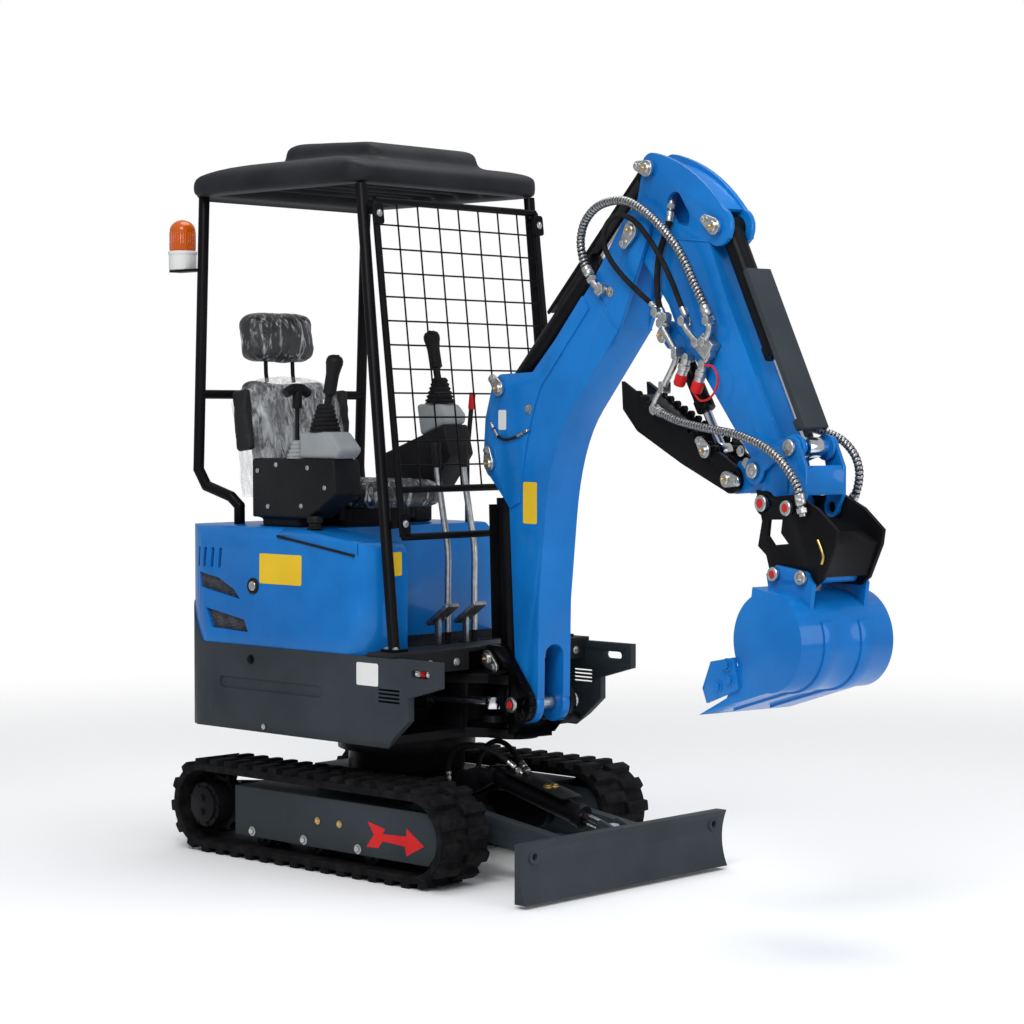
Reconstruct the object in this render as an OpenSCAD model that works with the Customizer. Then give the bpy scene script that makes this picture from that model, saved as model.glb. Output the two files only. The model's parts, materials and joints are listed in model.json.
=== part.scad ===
// Mini excavator with rubber tracks, dozer blade, canopy, swinging arm, thumb and bucket.
// Millimetres. +X forward, +Y left, +Z up, the ground at z = 0.
// The drawing frame has its origin on the ground under the slew centre.

/* [Tracks] */
// Length over the lugs
track_len = 1288; // [1260:1:1300]
// Height over the lugs
track_h = 307; // [300:1:310]
// Width over both belts
overall_w = 930; // [920:1:950]
// Width of one belt
track_w = 200; // [190:1:204]
// Thickness of the belt without its lugs
belt_t = 22; // [18:1:24]
// Height of a lug
lug_h = 18; // [14:1:20]
// Lugs on one belt
lug_count = 39; // [36:1:42]

/* [House] */
// Half width of the house
house_half = 450; // [446:1:452]
// Rear end of the counterweight behind the slew centre
tail_x = 690; // [680:1:700]
// Corner radius of the tail
tail_r = 240; // [220:5:260]
// Underside of the house
house_z = 412; // [410:1:414]
// Seam between counterweight and engine cover
seam_z = 690; // [688:1:692]
// Top of the engine cover
hood_z = 1070; // [1060:1:1080]
// Underside of the roof
roof_z = 2146; // [2144:1:2150]

/* [Arm] */
// Distance of the boom swing axis from the slew centre
swing_x = 484; // [480:1:490]
// Boom swing in the pose shown
swing_rest = -10.3; // [-12:0.1:-8]
// Boom foot pin ahead of the swing axis
foot_r = 145; // [143:1:147]
// Height of the boom foot pin
foot_z = 541; // [539:1:543]
// Half width of the boom
boom_half = 62; // [60:0.5:63]
// Half width of the dipper
dipper_half = 46; // [44:0.5:47]
// Half width of the bucket
bucket_half = 168; // [160:1:175]

/* [Blade] */
// Width of the blade
blade_w = 930; // [900:1:950]
// Ground clearance under the blade
blade_low = 12; // [10:1:16]
// Radius of the tie-down holes in its upper corners
tie_r = 11; // [10:0.5:12]

/* [Fits] */
// Radial clearance of a pin in its bore
pin_gap = 0.08; // [0.05:0.01:0.1]
// Radial clearance of a cylinder rod in its bore
rod_gap = 0.1; // [0.05:0.01:0.1]

/* [Hidden] */
$fn = 64;

blue = "#1568b5";
slate = "#343c44";
black = "#17181a";
steel = "#c8ccd0";
grey = "#b9bdc1";

// Track loop, a stadium around the two axles
end_r = track_h / 2;
axle_x = track_len / 2 - end_r;
axle_z = end_r;
belt_r = end_r - lug_h;
inner_r = belt_r - belt_t;
track_y = overall_w / 2 - track_w / 2;
run = 2 * axle_x;
bend = PI * belt_r;
loop_len = 2 * run + 2 * bend;
lug_t = 42;
lug_root = 6;
lug_draft = 5;
lug_crown = 0.9;
lug_edge = 3;
lug_split = 5;
sprocket_r = 100;
roller_r = 38;
roller_x = [-231, 13, 270];
ring_z = 400;
frame_half = 75;
frame_plate = 12;
frame_low = 72;
frame_top = 232;

// Blade pivot and cylinder in the plane x, z
blade_pivot = [470, 170];
blade_base = [400, 292];
blade_eye = [893, 168];
blade_x = 962;
blade_back = blade_x - 27;
blade_top = 188;
tie_y = blade_w / 2 - 53;
tie_z = 148;
tie_len = 32;

// Arm pins in the plane of the arm: distance ahead of the swing axis, height
foot = [foot_r, foot_z];
boom_base = [-5, 671];
boom_eye = [-27, 1278];
dipper_base = [22, 1511];
dipper_pivot = [673, 1963];
dipper_eye = [726, 2137];
bucket_base = [1020, 1954];
rocker_pivot = [1190, 1277];
rocker_pin = [1352, 1342];
hitch_pin = [1262, 1190];
link_pin = [1366, 1180];
bucket_pin_a = [1327, 1001];
bucket_pin_b = [1435, 997];
thumb_pivot = [1084, 1251];
thumb_eye = [992, 1329];
thumb_base = [786, 1657];
pin_r = 20;

// Swing cylinder in plan
swing_base = [70, -235];
swing_eye_r = 112;
swing_eye_a = -72;

// Beacon behind the right rear post
beacon_at = [-690, -365];
beacon_z = 1912;
beacon_r = 46;

hitch_in = 78;
hitch_out = 90;

// Bulge of a pipe's knee over the pipe
knee = 0.4;
// Gap between pieces that rest on each other
seat_gap = 0.3;

// The frame's origin stands under the middle of the whole machine
hitch_front = 1549;
rear_x = beacon_at[0] - beacon_r;
front_x = swing_x + hitch_front * cos(swing_rest) - hitch_out * sin(swing_rest);
origin_x = (front_x + rear_x) / 2;

function along(p, q) = atan2(q[1] - p[1], q[0] - p[0]);
// Points along a curve from a to c that leaves a and meets c towards b
function bend(a, b, c, n) =
  [for (i = [0 : n]) let (t = i / n) a * (1 - t) ^ 2 + b * 2 * t * (1 - t) + c * t ^ 2];
function dist(p, q) = norm([q[0] - p[0], q[1] - p[1]]);
function loop_at(s) =
  s < run ? [s - axle_x, -belt_r, -90] :
  s < run + bend ? let (a = 180 * (s - run) / bend - 90) [axle_x + belt_r * cos(a), belt_r * sin(a), a] :
  s < 2 * run + bend ? [axle_x - (s - run - bend), belt_r, 90] :
  let (a = 180 * (s - 2 * run - bend) / bend + 90) [belt_r * cos(a) - axle_x, belt_r * sin(a), a];

module place() translate([-origin_x, 0, 0]) children();
module arm() place() translate([swing_x, 0, 0]) rotate([0, 0, swing_rest]) children();

// A flat outline in x, z, pulled from y0 to y1
module lateral(y0, y1) translate([0, y1, 0]) rotate([90, 0, 0]) linear_extrude(y1 - y0) children();
module both(y0, y1) {
  lateral(y0, y1) children();
  lateral(-y1, -y0) children();
}
module sides() {
  children();
  mirror([0, 1, 0]) children();
}
module disc(p, r, y0, y1) lateral(y0, y1) translate(p) circle(r);
module tube(p, q, r) {
  d = q - p;
  translate(p) rotate([0, acos(d[2] / norm(d)), atan2(d[1], d[0])]) cylinder(r = r, h = norm(d));
}
module bar(points, r) {
  for (i = [0 : len(points) - 2]) tube(points[i], points[i + 1], r);
  for (i = [1 : len(points) - 2]) translate(points[i]) sphere(r + knee);
}
module frontal(x0, x1) translate([x0, 0, 0]) rotate([90, 0, 90]) linear_extrude(x1 - x0) children();
module slot(x0, x1, z, r) {
  translate([x0 + r, z - r]) square([x1 - x0 - 2 * r, 2 * r]);
  for (x = [x0 + r, x1 - r]) translate([x, z]) circle(r);
}
module box(x0, x1, y0, y1, z0, z1) translate([x0, y0, z0]) cube([x1 - x0, y1 - y0, z1 - z0]);
module round_rect(x0, x1, half, r) {
  translate([x0 + r, -half]) square([x1 - x0 - 2 * r, 2 * half]);
  translate([x0, r - half]) square([x1 - x0, 2 * half - 2 * r]);
  for (x = [x0 + r, x1 - r], y = [r - half, half - r]) translate([x, y]) circle(r);
}

// Hydraulic cylinder along the line p to q: barrel from p, rod to q
module on_line(p, q) translate([p[0], 0, p[1]]) rotate([0, -along(p, q), 0]) children();
module barrel(p, q, r, length, rod_r, eye_r, eye_half, bore_start) on_line(p, q) difference() {
  union() {
    disc([0, 0], eye_r, -eye_half, eye_half);
    translate([eye_r * 0.6, 0, 0]) rotate([0, 90, 0]) cylinder(r = r, h = length - eye_r * 0.6);
    translate([length - 30, 0, 0]) rotate([0, 90, 0]) cylinder(r = r + 4, h = 30);
  }
  translate([bore_start, 0, 0]) rotate([0, 90, 0]) cylinder(r = rod_r + rod_gap, h = length);
  disc([0, 0], pin_r + pin_gap, -eye_half - r, eye_half + r);
}
module rod(p, q, r, length, eye_r, eye_half) on_line(p, q) translate([dist(p, q), 0, 0]) difference() {
  union() {
    translate([-length, 0, 0]) rotate([0, 90, 0]) cylinder(r = r, h = length - eye_r * 0.6);
    disc([0, 0], eye_r, -eye_half, eye_half);
  }
  disc([0, 0], pin_r * 0.8, -eye_half - 1, eye_half + 1);
}

module belt_outline(r) {
  translate([-axle_x, -r]) square([run, 2 * r]);
  for (x = [-axle_x, axle_x]) translate([x, 0]) circle(r);
}
module belt_ring() difference() {
  belt_outline(belt_r);
  belt_outline(inner_r);
}
module lug_row(shift) for (i = [0 : lug_count - 1])
  let (at = loop_at((i + shift) * loop_len / lug_count))
    translate([at[0], at[1]]) rotate(at[2])
      polygon([[-lug_root, -lug_t / 2], [lug_h - lug_crown, lug_draft - lug_t / 2], [lug_h, 0],
        [lug_h - lug_crown, lug_t / 2 - lug_draft], [-lug_root, lug_t / 2]]);
// Each belt has two rows of lugs, half a pitch apart
module track(y) color(black) place() translate([0, y, axle_z]) {
  lateral(-track_w / 2, track_w / 2) belt_ring();
  lateral(-track_w / 2 + lug_edge, -lug_split) lug_row(0.25);
  lateral(lug_split, track_w / 2 - lug_edge) lug_row(0.75);
}
module track_left() track(track_y);
module track_right() track(-track_y);

module side_plate() polygon([[-345, frame_low], [545, frame_low], [588, 125], [588, 178],
  [540, frame_top], [-345, frame_top]]);
module drive_plate() polygon([[-560, 95], [-345, frame_low], [545, frame_low], [588, 125],
  [588, 178], [540, frame_top], [-345, frame_top], [-560, 212]]);
module track_frames() color(slate) place() sides() {
  lateral(track_y + frame_half - frame_plate, track_y + frame_half) side_plate();
  lateral(track_y - frame_half, track_y - frame_half + frame_plate) drive_plate();
  box(-345, 360, track_y - frame_half, track_y + frame_half, 196, frame_top);
}
module sprockets() color(black) place() sides() translate([-axle_x, 0, axle_z]) {
  lateral(track_y - 18, track_y + 18) {
    circle(sprocket_r - 12);
    for (i = [0 : 10]) rotate(i * 360 / 11) translate([sprocket_r - 16, -9]) square([16, 18]);
  }
  disc([0, 0], 72, track_y + 18, track_y + 82);
  disc([0, 0], 58, track_y + 82, track_y + 92);
  disc([0, 0], 66, track_y - frame_half + frame_plate + 0.5, track_y - 18);
}
module idlers() color(black) place() sides() translate([axle_x, 0, axle_z]) {
  disc([0, 0], inner_r - seat_gap, track_y - 22, track_y + 22);
  disc([0, 0], 50, track_y - frame_half + frame_plate + 0.5, track_y + frame_half - frame_plate - 0.5);
}
module rollers() color(black) place() sides() for (x = roller_x)
  translate([x, 0, axle_z - inner_r + roller_r + seat_gap]) {
    disc([0, 0], roller_r, track_y - 52, track_y - 14);
    disc([0, 0], roller_r, track_y + 14, track_y + 52);
    disc([0, 0], 20, track_y - frame_half + frame_plate + 0.5, track_y + frame_half - frame_plate - 0.5);
  }
module lower_frame() color(black) place() {
  inner = track_y - frame_half;
  box(-260, 260, -170, 170, 110, 285);
  for (x = [-255, 125]) box(x, x + 130, -inner, inner, 118, 222);
  sides() box(250, 430, 112, 150, 120, 220);
  sides() lateral(112, 150) translate(blade_pivot) circle(50);
  sides() disc(blade_pivot, 18, 150, 198);
  sides() lateral(34, 52) polygon([[250, 200], [380, 245], [435, 275], [435, 318], [365, 318], [250, 285]]);
  sides() disc(blade_base, pin_r, 30, 58);
}
module slew_ring() color("#2a2c2f") place() {
  translate([0, 0, 285.3]) cylinder(r = 190, h = 74);
  translate([0, 0, ring_z - 50]) cylinder(r = 225, h = 50);
}

module blade_profile() difference() {
  polygon([[blade_x - 38, blade_low], [blade_x + 6, blade_low], [blade_x + 6, blade_top],
    [blade_x - 38, blade_top]]);
  translate([blade_x + 190, 104]) circle(206);
}
module blade() color(slate) place() difference() {
  union() {
    lateral(-blade_w / 2, blade_w / 2) blade_profile();
    sides() lateral(152, 192) difference() {
      union() {
        translate(blade_pivot) circle(44);
        polygon([[470, 126], [470, 214], [560, 200], [blade_back, 150], [blade_back, 60], [620, 110]]);
      }
      translate(blade_pivot) circle(18 + pin_gap);
    }
    sides() lateral(30, 46) polygon([[blade_back, 80], [blade_back, 186], [880, 205], [862, 168],
      [880, 130]]);
    sides() disc(blade_eye, pin_r * 0.8, 30, 56);
    sides() translate([blade_x - 38, tie_y, tie_z]) rotate([0, 90, 0]) cylinder(r = tie_r + 11, h = tie_len);
    for (y = [165, 91]) both(blade_w / 2 - y, blade_w / 2 - y + 12)
      polygon([[blade_back, 20], [blade_back, 170], [blade_back - 30, 140], [blade_back - 45, 30]]);
  }
  sides() translate([blade_x - 80, tie_y, tie_z]) rotate([0, 90, 0]) cylinder(r = tie_r, h = 120);
}
module blade_cylinder() color(black) place() {
  barrel(blade_base, blade_eye, 32, 390, 17, 30, 28, 90);
  on_line(blade_base, blade_eye) box(70, 330, -46, 46, 38, 44);
  on_line(blade_base, blade_eye) box(90, 110, -14, 14, 28, 42);
}
module blade_rod() color(steel) place() rod(blade_base, blade_eye, 17, 330, 24, 24);

skirt_t = 24;
module house_plan(gap) intersection() {
  round_rect(-tail_x + gap, 2000, house_half - gap, tail_r - gap);
  translate([-2000, -1000]) square([2603, 2000]);
}
module nose_plan() {
  polygon([[230, -220], [230, 220], [440, 74], [484, 75], [484, -75], [440, -74]]);
  translate([swing_x, 0]) circle(75);
}
module deck() color(black) place() difference() {
  union() {
    translate([0, 0, house_z + 10]) linear_extrude(28) intersection() {
      house_plan(skirt_t + seat_gap);
      translate([-1000, -1000]) square([1380, 2000]);
    }
    translate([0, 0, ring_z + seat_gap]) cylinder(r = 225, h = house_z - ring_z + 20);
    for (z = [420, 590]) translate([0, 0, z]) linear_extrude(30) nose_plan();
    sides() box(230, 372, 96, 122, 449, 591);
    box(230, 260, -122, 220, 449, 620);
    translate([swing_base[0], swing_base[1], 449]) cylinder(r = 34, h = 24);
    translate([swing_base[0], swing_base[1], 449]) cylinder(r = 16, h = 80);
  }
  translate([swing_x, 0, 400]) cylinder(r = 24 + pin_gap, h = 300);
}
// The seam between counterweight and cover climbs towards the tail
tail_seam = [-500, -624];
tail_seam_z = 815;
belly = 38;
module skirt_side() polygon([[-tail_x - 1, house_z + 2 * belly], [-tail_x + belly, house_z], [362, house_z],
  [470, 505], [470, 575], [600, 612], [600, seam_z], [tail_seam[0], seam_z], [tail_seam[1], tail_seam_z],
  [-tail_x - 1, tail_seam_z]]);
module skirt_cross() polygon([[belly / 2 - house_half, house_z], [house_half - belly / 2, house_z],
  [house_half + 1, house_z + belly], [house_half + 1, tail_seam_z], [-house_half - 1, tail_seam_z],
  [-house_half - 1, house_z + belly]]);
groove_deep = 6;
module counterweight() color(slate) place() difference() {
  union() {
    intersection() {
      translate([0, 0, house_z]) linear_extrude(tail_seam_z - house_z) difference() {
        house_plan(0);
        house_plan(skirt_t);
      }
      lateral(-house_half - 50, house_half + 50) skirt_side();
      frontal(-tail_x - 1, 700) skirt_cross();
    }
    intersection() {
      translate([0, 0, house_z + 60]) linear_extrude(seam_z - house_z - 60) house_plan(skirt_t - 1);
      box(-tail_x, 120 - tail_x, 50 - house_half, house_half - 50, house_z + 60, seam_z);
    }
  }
  both(house_half - groove_deep, house_half + 1) slot(-408, 87, 566, 19);
  both(house_half - skirt_t - 1, house_half + 1) {
    for (i = [0 : 3]) slot(336, 432, 557 + i * 12, 3.4);
    slot(482, 560, 650, 12);
  }
}
floor_notch = 112;
arm_front = 282;
panel_x = -40;
tank_y = 180 - house_half;
tank_r = 110;
tank_fall = 36;
cover_in = 3;
cover_t = 14;
cover_lean = 20;
cover_tuck = 6;
edge_r = 48;
// Rounded edges start this far outside the faces they meet
overrun = 0.6;
module cover_plan(gap) {
  half = house_half - cover_in - gap;
  intersection() {
    round_rect(-tail_x + cover_in + gap, 600, half, tail_r - gap);
    translate([-1000, -1000]) square([1000 + panel_x - gap, 2000]);
  }
  difference() {
    translate([-400, -half]) square([400 + arm_front - gap, half + tank_y - gap]);
    translate([arm_front - tank_r, -half]) difference() {
      translate([0, -1]) square([tank_r + 1, tank_r - gap + 1]);
      translate([0, tank_r - gap]) circle(tank_r - gap);
    }
  }
}
// Side view of the cover: leaning tail, round upper edges, the tank's top falling to the front
module cover_side(gap, drop) {
  r = edge_r - gap;
  top = hood_z - gap;
  tail = cover_lean + cover_in + gap - tail_x;
  front = arm_front - gap + overrun;
  translate([tail + r, top - r]) circle(r);
  translate([front - r, top - tank_fall - r]) circle(r);
  polygon([[tail + overrun - cover_lean, tail_seam_z + seat_gap - drop],
    [tail_seam[1], tail_seam_z + seat_gap - drop], [tail_seam[0], seam_z + seat_gap - drop],
    [front, seam_z + seat_gap - drop], [front, top - tank_fall - r], [front - r, top - tank_fall],
    [-60, top], [tail + r, top], [tail, top - r]]);
}
module cover_cross(gap) {
  r = edge_r - gap;
  top = hood_z - gap + overrun;
  half = house_half - cover_in - gap;
  shoulder = half - cover_tuck;
  for (y = [r - shoulder, shoulder - r]) translate([y, top - r]) circle(r);
  polygon([[-half, seam_z - 60], [half, seam_z - 60], [shoulder, top - r], [shoulder - r, top],
    [r - shoulder, top], [-shoulder, top - r]]);
}
module cover_solid(gap, drop) intersection() {
  translate([0, 0, seam_z - drop]) linear_extrude(hood_z) cover_plan(gap);
  lateral(-house_half - 50, house_half + 50) cover_side(gap, drop);
  frontal(-tail_x - 50, 700) cover_cross(gap);
}
lid_x = [-131, 226];
lid_y = [cover_in - house_half, cover_in + 59 - house_half];
module upper_vent() polygon([[-524, 918], [-514, 868], [-312, 836], [-345, 868], [-420, 902]]);
module lower_vent() polygon([[-482, 802], [-452, 738], [-272, 732], [-292, 772]]);
module cover_vents() lateral(-house_half - 10, 70 - house_half) {
  for (i = [0 : 3]) translate([-528 + i * 38, 966]) rotate(84) slot(-34, 34, 0, 7);
  upper_vent();
  lower_vent();
}
module engine_cover() color(blue) place() difference() {
  cover_solid(0, 0);
  cover_solid(cover_t, 60);
  cover_vents();
  filler_cut(4);
}
// Slatted sheet behind the side vents, seated on the cover's leaning wall at its upper edge
grille_t = 4;
grille_x = [-521, -255];
grille_z = [715, 935];
grille_in = cover_t + seat_gap
  + cover_tuck * (grille_z[1] - seam_z + 60) / (hood_z - edge_r - seam_z + 60);
module grille_slots() intersection() {
  translate([grille_x[0] + 15, grille_z[0] + 15])
    square([grille_x[1] - grille_x[0] - 30, grille_z[1] - grille_z[0] - 30]);
  for (i = [0 : 18]) translate([grille_x[0], grille_z[0] + i * 14]) rotate(-10) square([400, 7]);
}
module cover_grille() color(black) place() difference() {
  intersection() {
    translate([0, 0, grille_z[0]]) linear_extrude(grille_z[1] - grille_z[0]) difference() {
      cover_plan(grille_in);
      cover_plan(grille_in + grille_t);
    }
    box(grille_x[0], grille_x[1], -house_half, 0, seam_z, hood_z);
  }
  lateral(-house_half, 0) grille_slots();
}
lid_fall = 0.14;
module lid_outline(gap, low) polygon([[lid_x[0] - gap, low + gap * lid_fall],
  [lid_x[1] + gap, low - (lid_x[1] - lid_x[0] + gap) * lid_fall],
  [lid_x[1] + gap, 1300], [lid_x[0] - gap, 1300]]);
module filler_cut(gap) lateral(lid_y[0] - 20, lid_y[1] + gap) lid_outline(gap, hood_z - 22);
module filler_lid() color(blue) place() intersection() {
  lateral(lid_y[0], lid_y[1]) lid_outline(0, hood_z - 22 + seat_gap);
  cover_solid(0, 0);
}
module engine() color("#55585c") place() box(-540, -150, -250, 250, 450.5, 950);
floor_front = 402;
apron_y = 118;
module floor_plate() color("#3a3d40") place() {
  translate([0, 0, seam_z + 0.2]) linear_extrude(13) difference() {
    translate([panel_x + 1, 4 - house_half]) square([floor_front - panel_x - 1, 2 * house_half - 8]);
    translate([panel_x, -house_half]) square([arm_front + 1 - panel_x, house_half + tank_y + 2]);
    translate([swing_x, 0]) circle(floor_notch);
  }
  both(apron_y, house_half - skirt_t - 1) translate([floor_front - 12, seam_z - 56]) square([12, 60]);
}
floor_z = seam_z + 13.2;
module pedals() color("#c4c6c8") place() {
  for (y = [-110, 15]) translate([235, y - 28, floor_z + 60]) rotate([0, -35, 0]) cube([110, 56, 12]);
  for (y = [-110, 15]) box(246, 266, y - 6, y + 6, floor_z + seat_gap, floor_z + 80);
}

seat_y = -60;
seat_z = hood_z + 150;
console_y = [130 - house_half, house_half - 210];
module consoles() color(black) place() {
  translate([0, console_y[0], 0]) lateral(-58, 58)
    polygon([[-330, 1100], [-60, 1100], [70, 1180], [60, 1290], [-330, 1290]]);
  box(-300, -120, console_y[0] - 40, console_y[0] + 40, hood_z + seat_gap, 1100.5);
  translate([0, console_y[1], 0]) lateral(-58, 58)
    polygon([[-330, 1130], [-80, 1180], [20, 1300], [-10, 1400], [-330, 1290]]);
  box(-300, -160, console_y[1] - 40, console_y[1] + 40, hood_z + seat_gap, 1160);
}
module console_tops() color(grey) place() {
  translate([0, console_y[0], 0]) lateral(-50, 50)
    polygon([[-110, 1290 + seat_gap], [60, 1290 + seat_gap], [84, 1320], [30, 1376], [-110, 1376]]);
  translate([0, console_y[1], 0]) lateral(-50, 50)
    polygon([[-130, 1359.1], [-11, 1400], [-5, 1430], [-40, 1466], [-150, 1466]]);
}
module stick(x, y, z, tilt) translate([x, y, z]) {
  cylinder(r1 = 36, r2 = 20, h = 56);
  translate([0, 0, 40]) rotate([0, tilt, 0]) rotate_extrude()
    polygon([[0, 0], [12, 0], [12, 76], [21, 88], [21, 170], [14, 186], [0, 190]]);
}
module control_levers() color(black) place() {
  stick(-40, console_y[0], 1376 + seat_gap, 14);
  stick(-85, console_y[1], 1466 + seat_gap, -12);
  translate([-150, console_y[0] - 20, 1290.5]) cylinder(r = 7, h = 170);
  translate([-150, console_y[0] - 20, 1450]) cylinder(r = 16, h = 70);
  for (y = [-60, 60]) bar([[250, y, floor_z + seat_gap], [250, y, 1000], [205, y, 1240], [200, y, 1330]], 9);
  bar([[-60, 345, hood_z + seat_gap], [-60, 345, 1300], [-35, 345, 1500]], 8);
}
module seat_cushion() color("#2c2d2f") place() {
  translate([0, seat_y, 0]) box(-520, 95, -190, 190, hood_z + 60, seat_z);
  translate([0, seat_y, 0]) box(-480, -60, -150, 150, hood_z + seat_gap, hood_z + 60.5);
}
module seat_back() color("#2c2d2f") place() translate([0, seat_y, 0]) {
  lateral(-190, 190)
    polygon([[-425, seat_z + seat_gap], [-520, seat_z + seat_gap], [-590, 1555], [-500, 1555]]);
  for (y = [-60, 60]) box(-560, -546, y - 7, y + 7, 1554, 1620);
  lateral(-125, 125) polygon([[-500, 1600], [-590, 1600], [-600, 1770], [-520, 1770]]);
}
module armrests() color(black) place() translate([0, seat_y, 0]) sides() {
  lateral(198, 236)
    polygon([[-505, 1300], [-450, 1300], [-430, 1400], [-470, 1525], [-530, 1525], [-545, 1400]]);
  disc([-515, 1400], 18, 190 + seat_gap, 200);
}
post_y = house_half - 70;
rear_y = house_half - 85;
post_low = [336, post_y, floor_z + 4 + seat_gap];
post_high = [192, post_y, roof_z - 2.2];
module canopy_frame() color(black) place() {
  sides() bar([[-577, rear_y, roof_z - 1], [-612, rear_y, 1250], [-590, rear_y - 15, 1195],
    [-500, rear_y - 45, 1160], [-470, rear_y - 55, 1130], [-470, rear_y - 55, hood_z + seat_gap]], 18);
  tube([-602, -rear_y, 1498], [-602, rear_y, 1498], 15);
  sides() bar([post_low, post_high], 18);
  sides() translate(post_low) translate([-30, -30, -4]) cube([60, 60, 8]);
  sides() guard_frame() for (z = [tab_low, dist(guard_low, guard_top) - tab_high])
    translate([guard_tab(z), guard_half - 6, z]) cube([-guard_tab(z) - guard_bar - seat_gap, 14, 24]);
  box(beacon_at[0] - 40, -588, beacon_at[1] - 25, beacon_at[1] + 25, beacon_z - 8, beacon_z);
}
guard_top = [234, 2091];
guard_low = [358, 1055];
guard_half = post_y - 18;
guard_bar = 11;
tab_low = 30;
tab_high = 40;
function guard_tab(z) = z == tab_low ? -52 : -36;
module guard_frame() translate([guard_low[0], 0, guard_low[1]])
  rotate([0, 90 - along(guard_low, guard_top), 0]) children();
mesh_wire = 6;
mesh_cols = 12;
mesh_rows = 16;
mesh_low = 0.14;
module front_guard() color(black) place() {
  high = dist(guard_low, guard_top);
  bottom = high * mesh_low;
  cell_w = 2 * guard_half / mesh_cols;
  cell_h = (high - bottom) / mesh_rows;
  guard_frame() {
    for (y = [-guard_half, guard_half]) translate([0, y, 0]) cylinder(r = guard_bar, h = high);
    for (z = [0, bottom, high]) translate([0, -guard_half, z]) rotate([-90, 0, 0])
      cylinder(r = guard_bar, h = 2 * guard_half);
    for (i = [1 : mesh_cols - 1])
      translate([-mesh_wire / 2, i * cell_w - guard_half - mesh_wire / 2, bottom])
      cube([mesh_wire, mesh_wire, high - bottom]);
    for (i = [1 : mesh_rows - 1])
      translate([-mesh_wire / 2, -guard_half, bottom + i * cell_h - mesh_wire / 2])
      cube([mesh_wire, 2 * guard_half, mesh_wire]);
  }
}
// Roof: a rim that droops to the rear, a raised panel and a ribbed pocket below
roof_half = house_half - 16;
roof_x = [-608, 222];
roof_skin = 14;
rim_w = 94;
module roof_top(gap) polygon(concat([[roof_x[0], 2128 + gap], [roof_x[0], 2172 - gap]],
  bend([-600, 2190 - gap], [-500, 2246 - gap], [-200, 2248 - gap], 8),
  bend([-60, 2248 - gap], [140, 2244 - gap], [206, 2208 - gap], 6), [[roof_x[1], 2190 - gap],
  [218, 2160 + gap], [210, roof_z + gap], [-597, roof_z + gap], [-600, 2128 + gap]]));
module roof_cross() polygon(concat([[-roof_half, 2100], [roof_half, 2100]],
  bend([roof_half, 2180], [roof_half, 2226], [roof_half - 80, 2240], 5), [[200, 2256], [-200, 2256]],
  bend([80 - roof_half, 2240], [-roof_half, 2226], [-roof_half, 2180], 5)));
module panel_side() {
  translate([-286, 2254]) circle(60);
  translate([52, 2228]) circle(68);
  polygon([[-346, 2180], [-346, 2254], [-286, 2314], [52, 2296], [120, 2228], [120, 2180]]);
}
module panel_cross() {
  for (y = [-190, 190]) translate([y, 2254]) circle(60);
  polygon([[-250, 2180], [-250, 2254], [-190, 2314], [190, 2314], [250, 2254], [250, 2180]]);
}
module roof_pocket() difference() {
  intersection() {
    lateral(rim_w - roof_half, roof_half - rim_w) translate([0, -30]) roof_top(roof_skin - 30);
    box(-530, 140, -roof_half, roof_half, 2100, 2300);
  }
  for (x = [-430 : 110 : 10]) box(x, x + 12, -roof_half, roof_half, roof_z + 14, 2300);
}
module roof() color("#1d1e20") place() difference() {
  union() {
    intersection() {
      lateral(-roof_half, roof_half) roof_top(0);
      frontal(-700, 300) roof_cross();
      translate([0, 0, 2100]) linear_extrude(400) round_rect(roof_x[0], roof_x[1], roof_half, 90);
    }
    intersection() {
      lateral(-250, 250) panel_side();
      frontal(-346, 120) panel_cross();
      translate([0, 0, 2180]) linear_extrude(200) round_rect(-346, 120, 250, 70);
    }
  }
  roof_pocket();
}
module beacon_base() color("white") place() translate([beacon_at[0], beacon_at[1], beacon_z + 0.2])
  cylinder(r = beacon_r, h = 62);
module beacon_dome() color("#f0920a") place() translate([beacon_at[0], beacon_at[1], beacon_z + 62.4]) {
  cylinder(r = beacon_r - 3, h = 86);
  translate([0, 0, 80]) cylinder(r = beacon_r - 14, h = 24);
}

// Swing bracket between the two nose plates, with its cheeks around boom foot and boom cylinder
cheek_in = 66;
cheek_out = 90;
module cheek() {
  translate(foot) circle(58);
  translate(boom_base) circle(42);
  polygon([[92, 440], [200, 541], [180, 590], [60, 712], [-5, 713], [-40, 660], [92, 640]]);
}
module swing_bracket() color(black) arm() difference() {
  union() {
    translate([0, 0, 452]) cylinder(r = 56, h = 136);
    translate([0, 0, 415]) cylinder(r = 24, h = 210);
    box(30, 80, -50, 50, 455, 586);
    box(92, 108, -cheek_in - 1, cheek_in + 1, 430, 478);
    box(60, 108, -50, 50, 455, 478);
    both(cheek_in, cheek_out) difference() {
      cheek();
      translate([0, 535]) square([172, 180], center = true);
    }
    disc(foot, pin_r, -117, 117);
    disc(boom_base, pin_r, -98, 98);
    rotate([0, 0, swing_eye_a]) translate([40, -22, 478]) cube([swing_eye_r - 40, 44, 20]);
    translate([swing_eye_r * cos(swing_eye_a), swing_eye_r * sin(swing_eye_a), 478])
      cylinder(r = 30, h = 20);
  }
}
swing_pin = [swing_x, 0]
  + swing_eye_r * [cos(swing_eye_a + swing_rest), sin(swing_eye_a + swing_rest)];
module swing_line() place() translate([swing_base[0], swing_base[1], 0])
  rotate([0, 0, along(swing_base, swing_pin)]) children();
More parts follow.
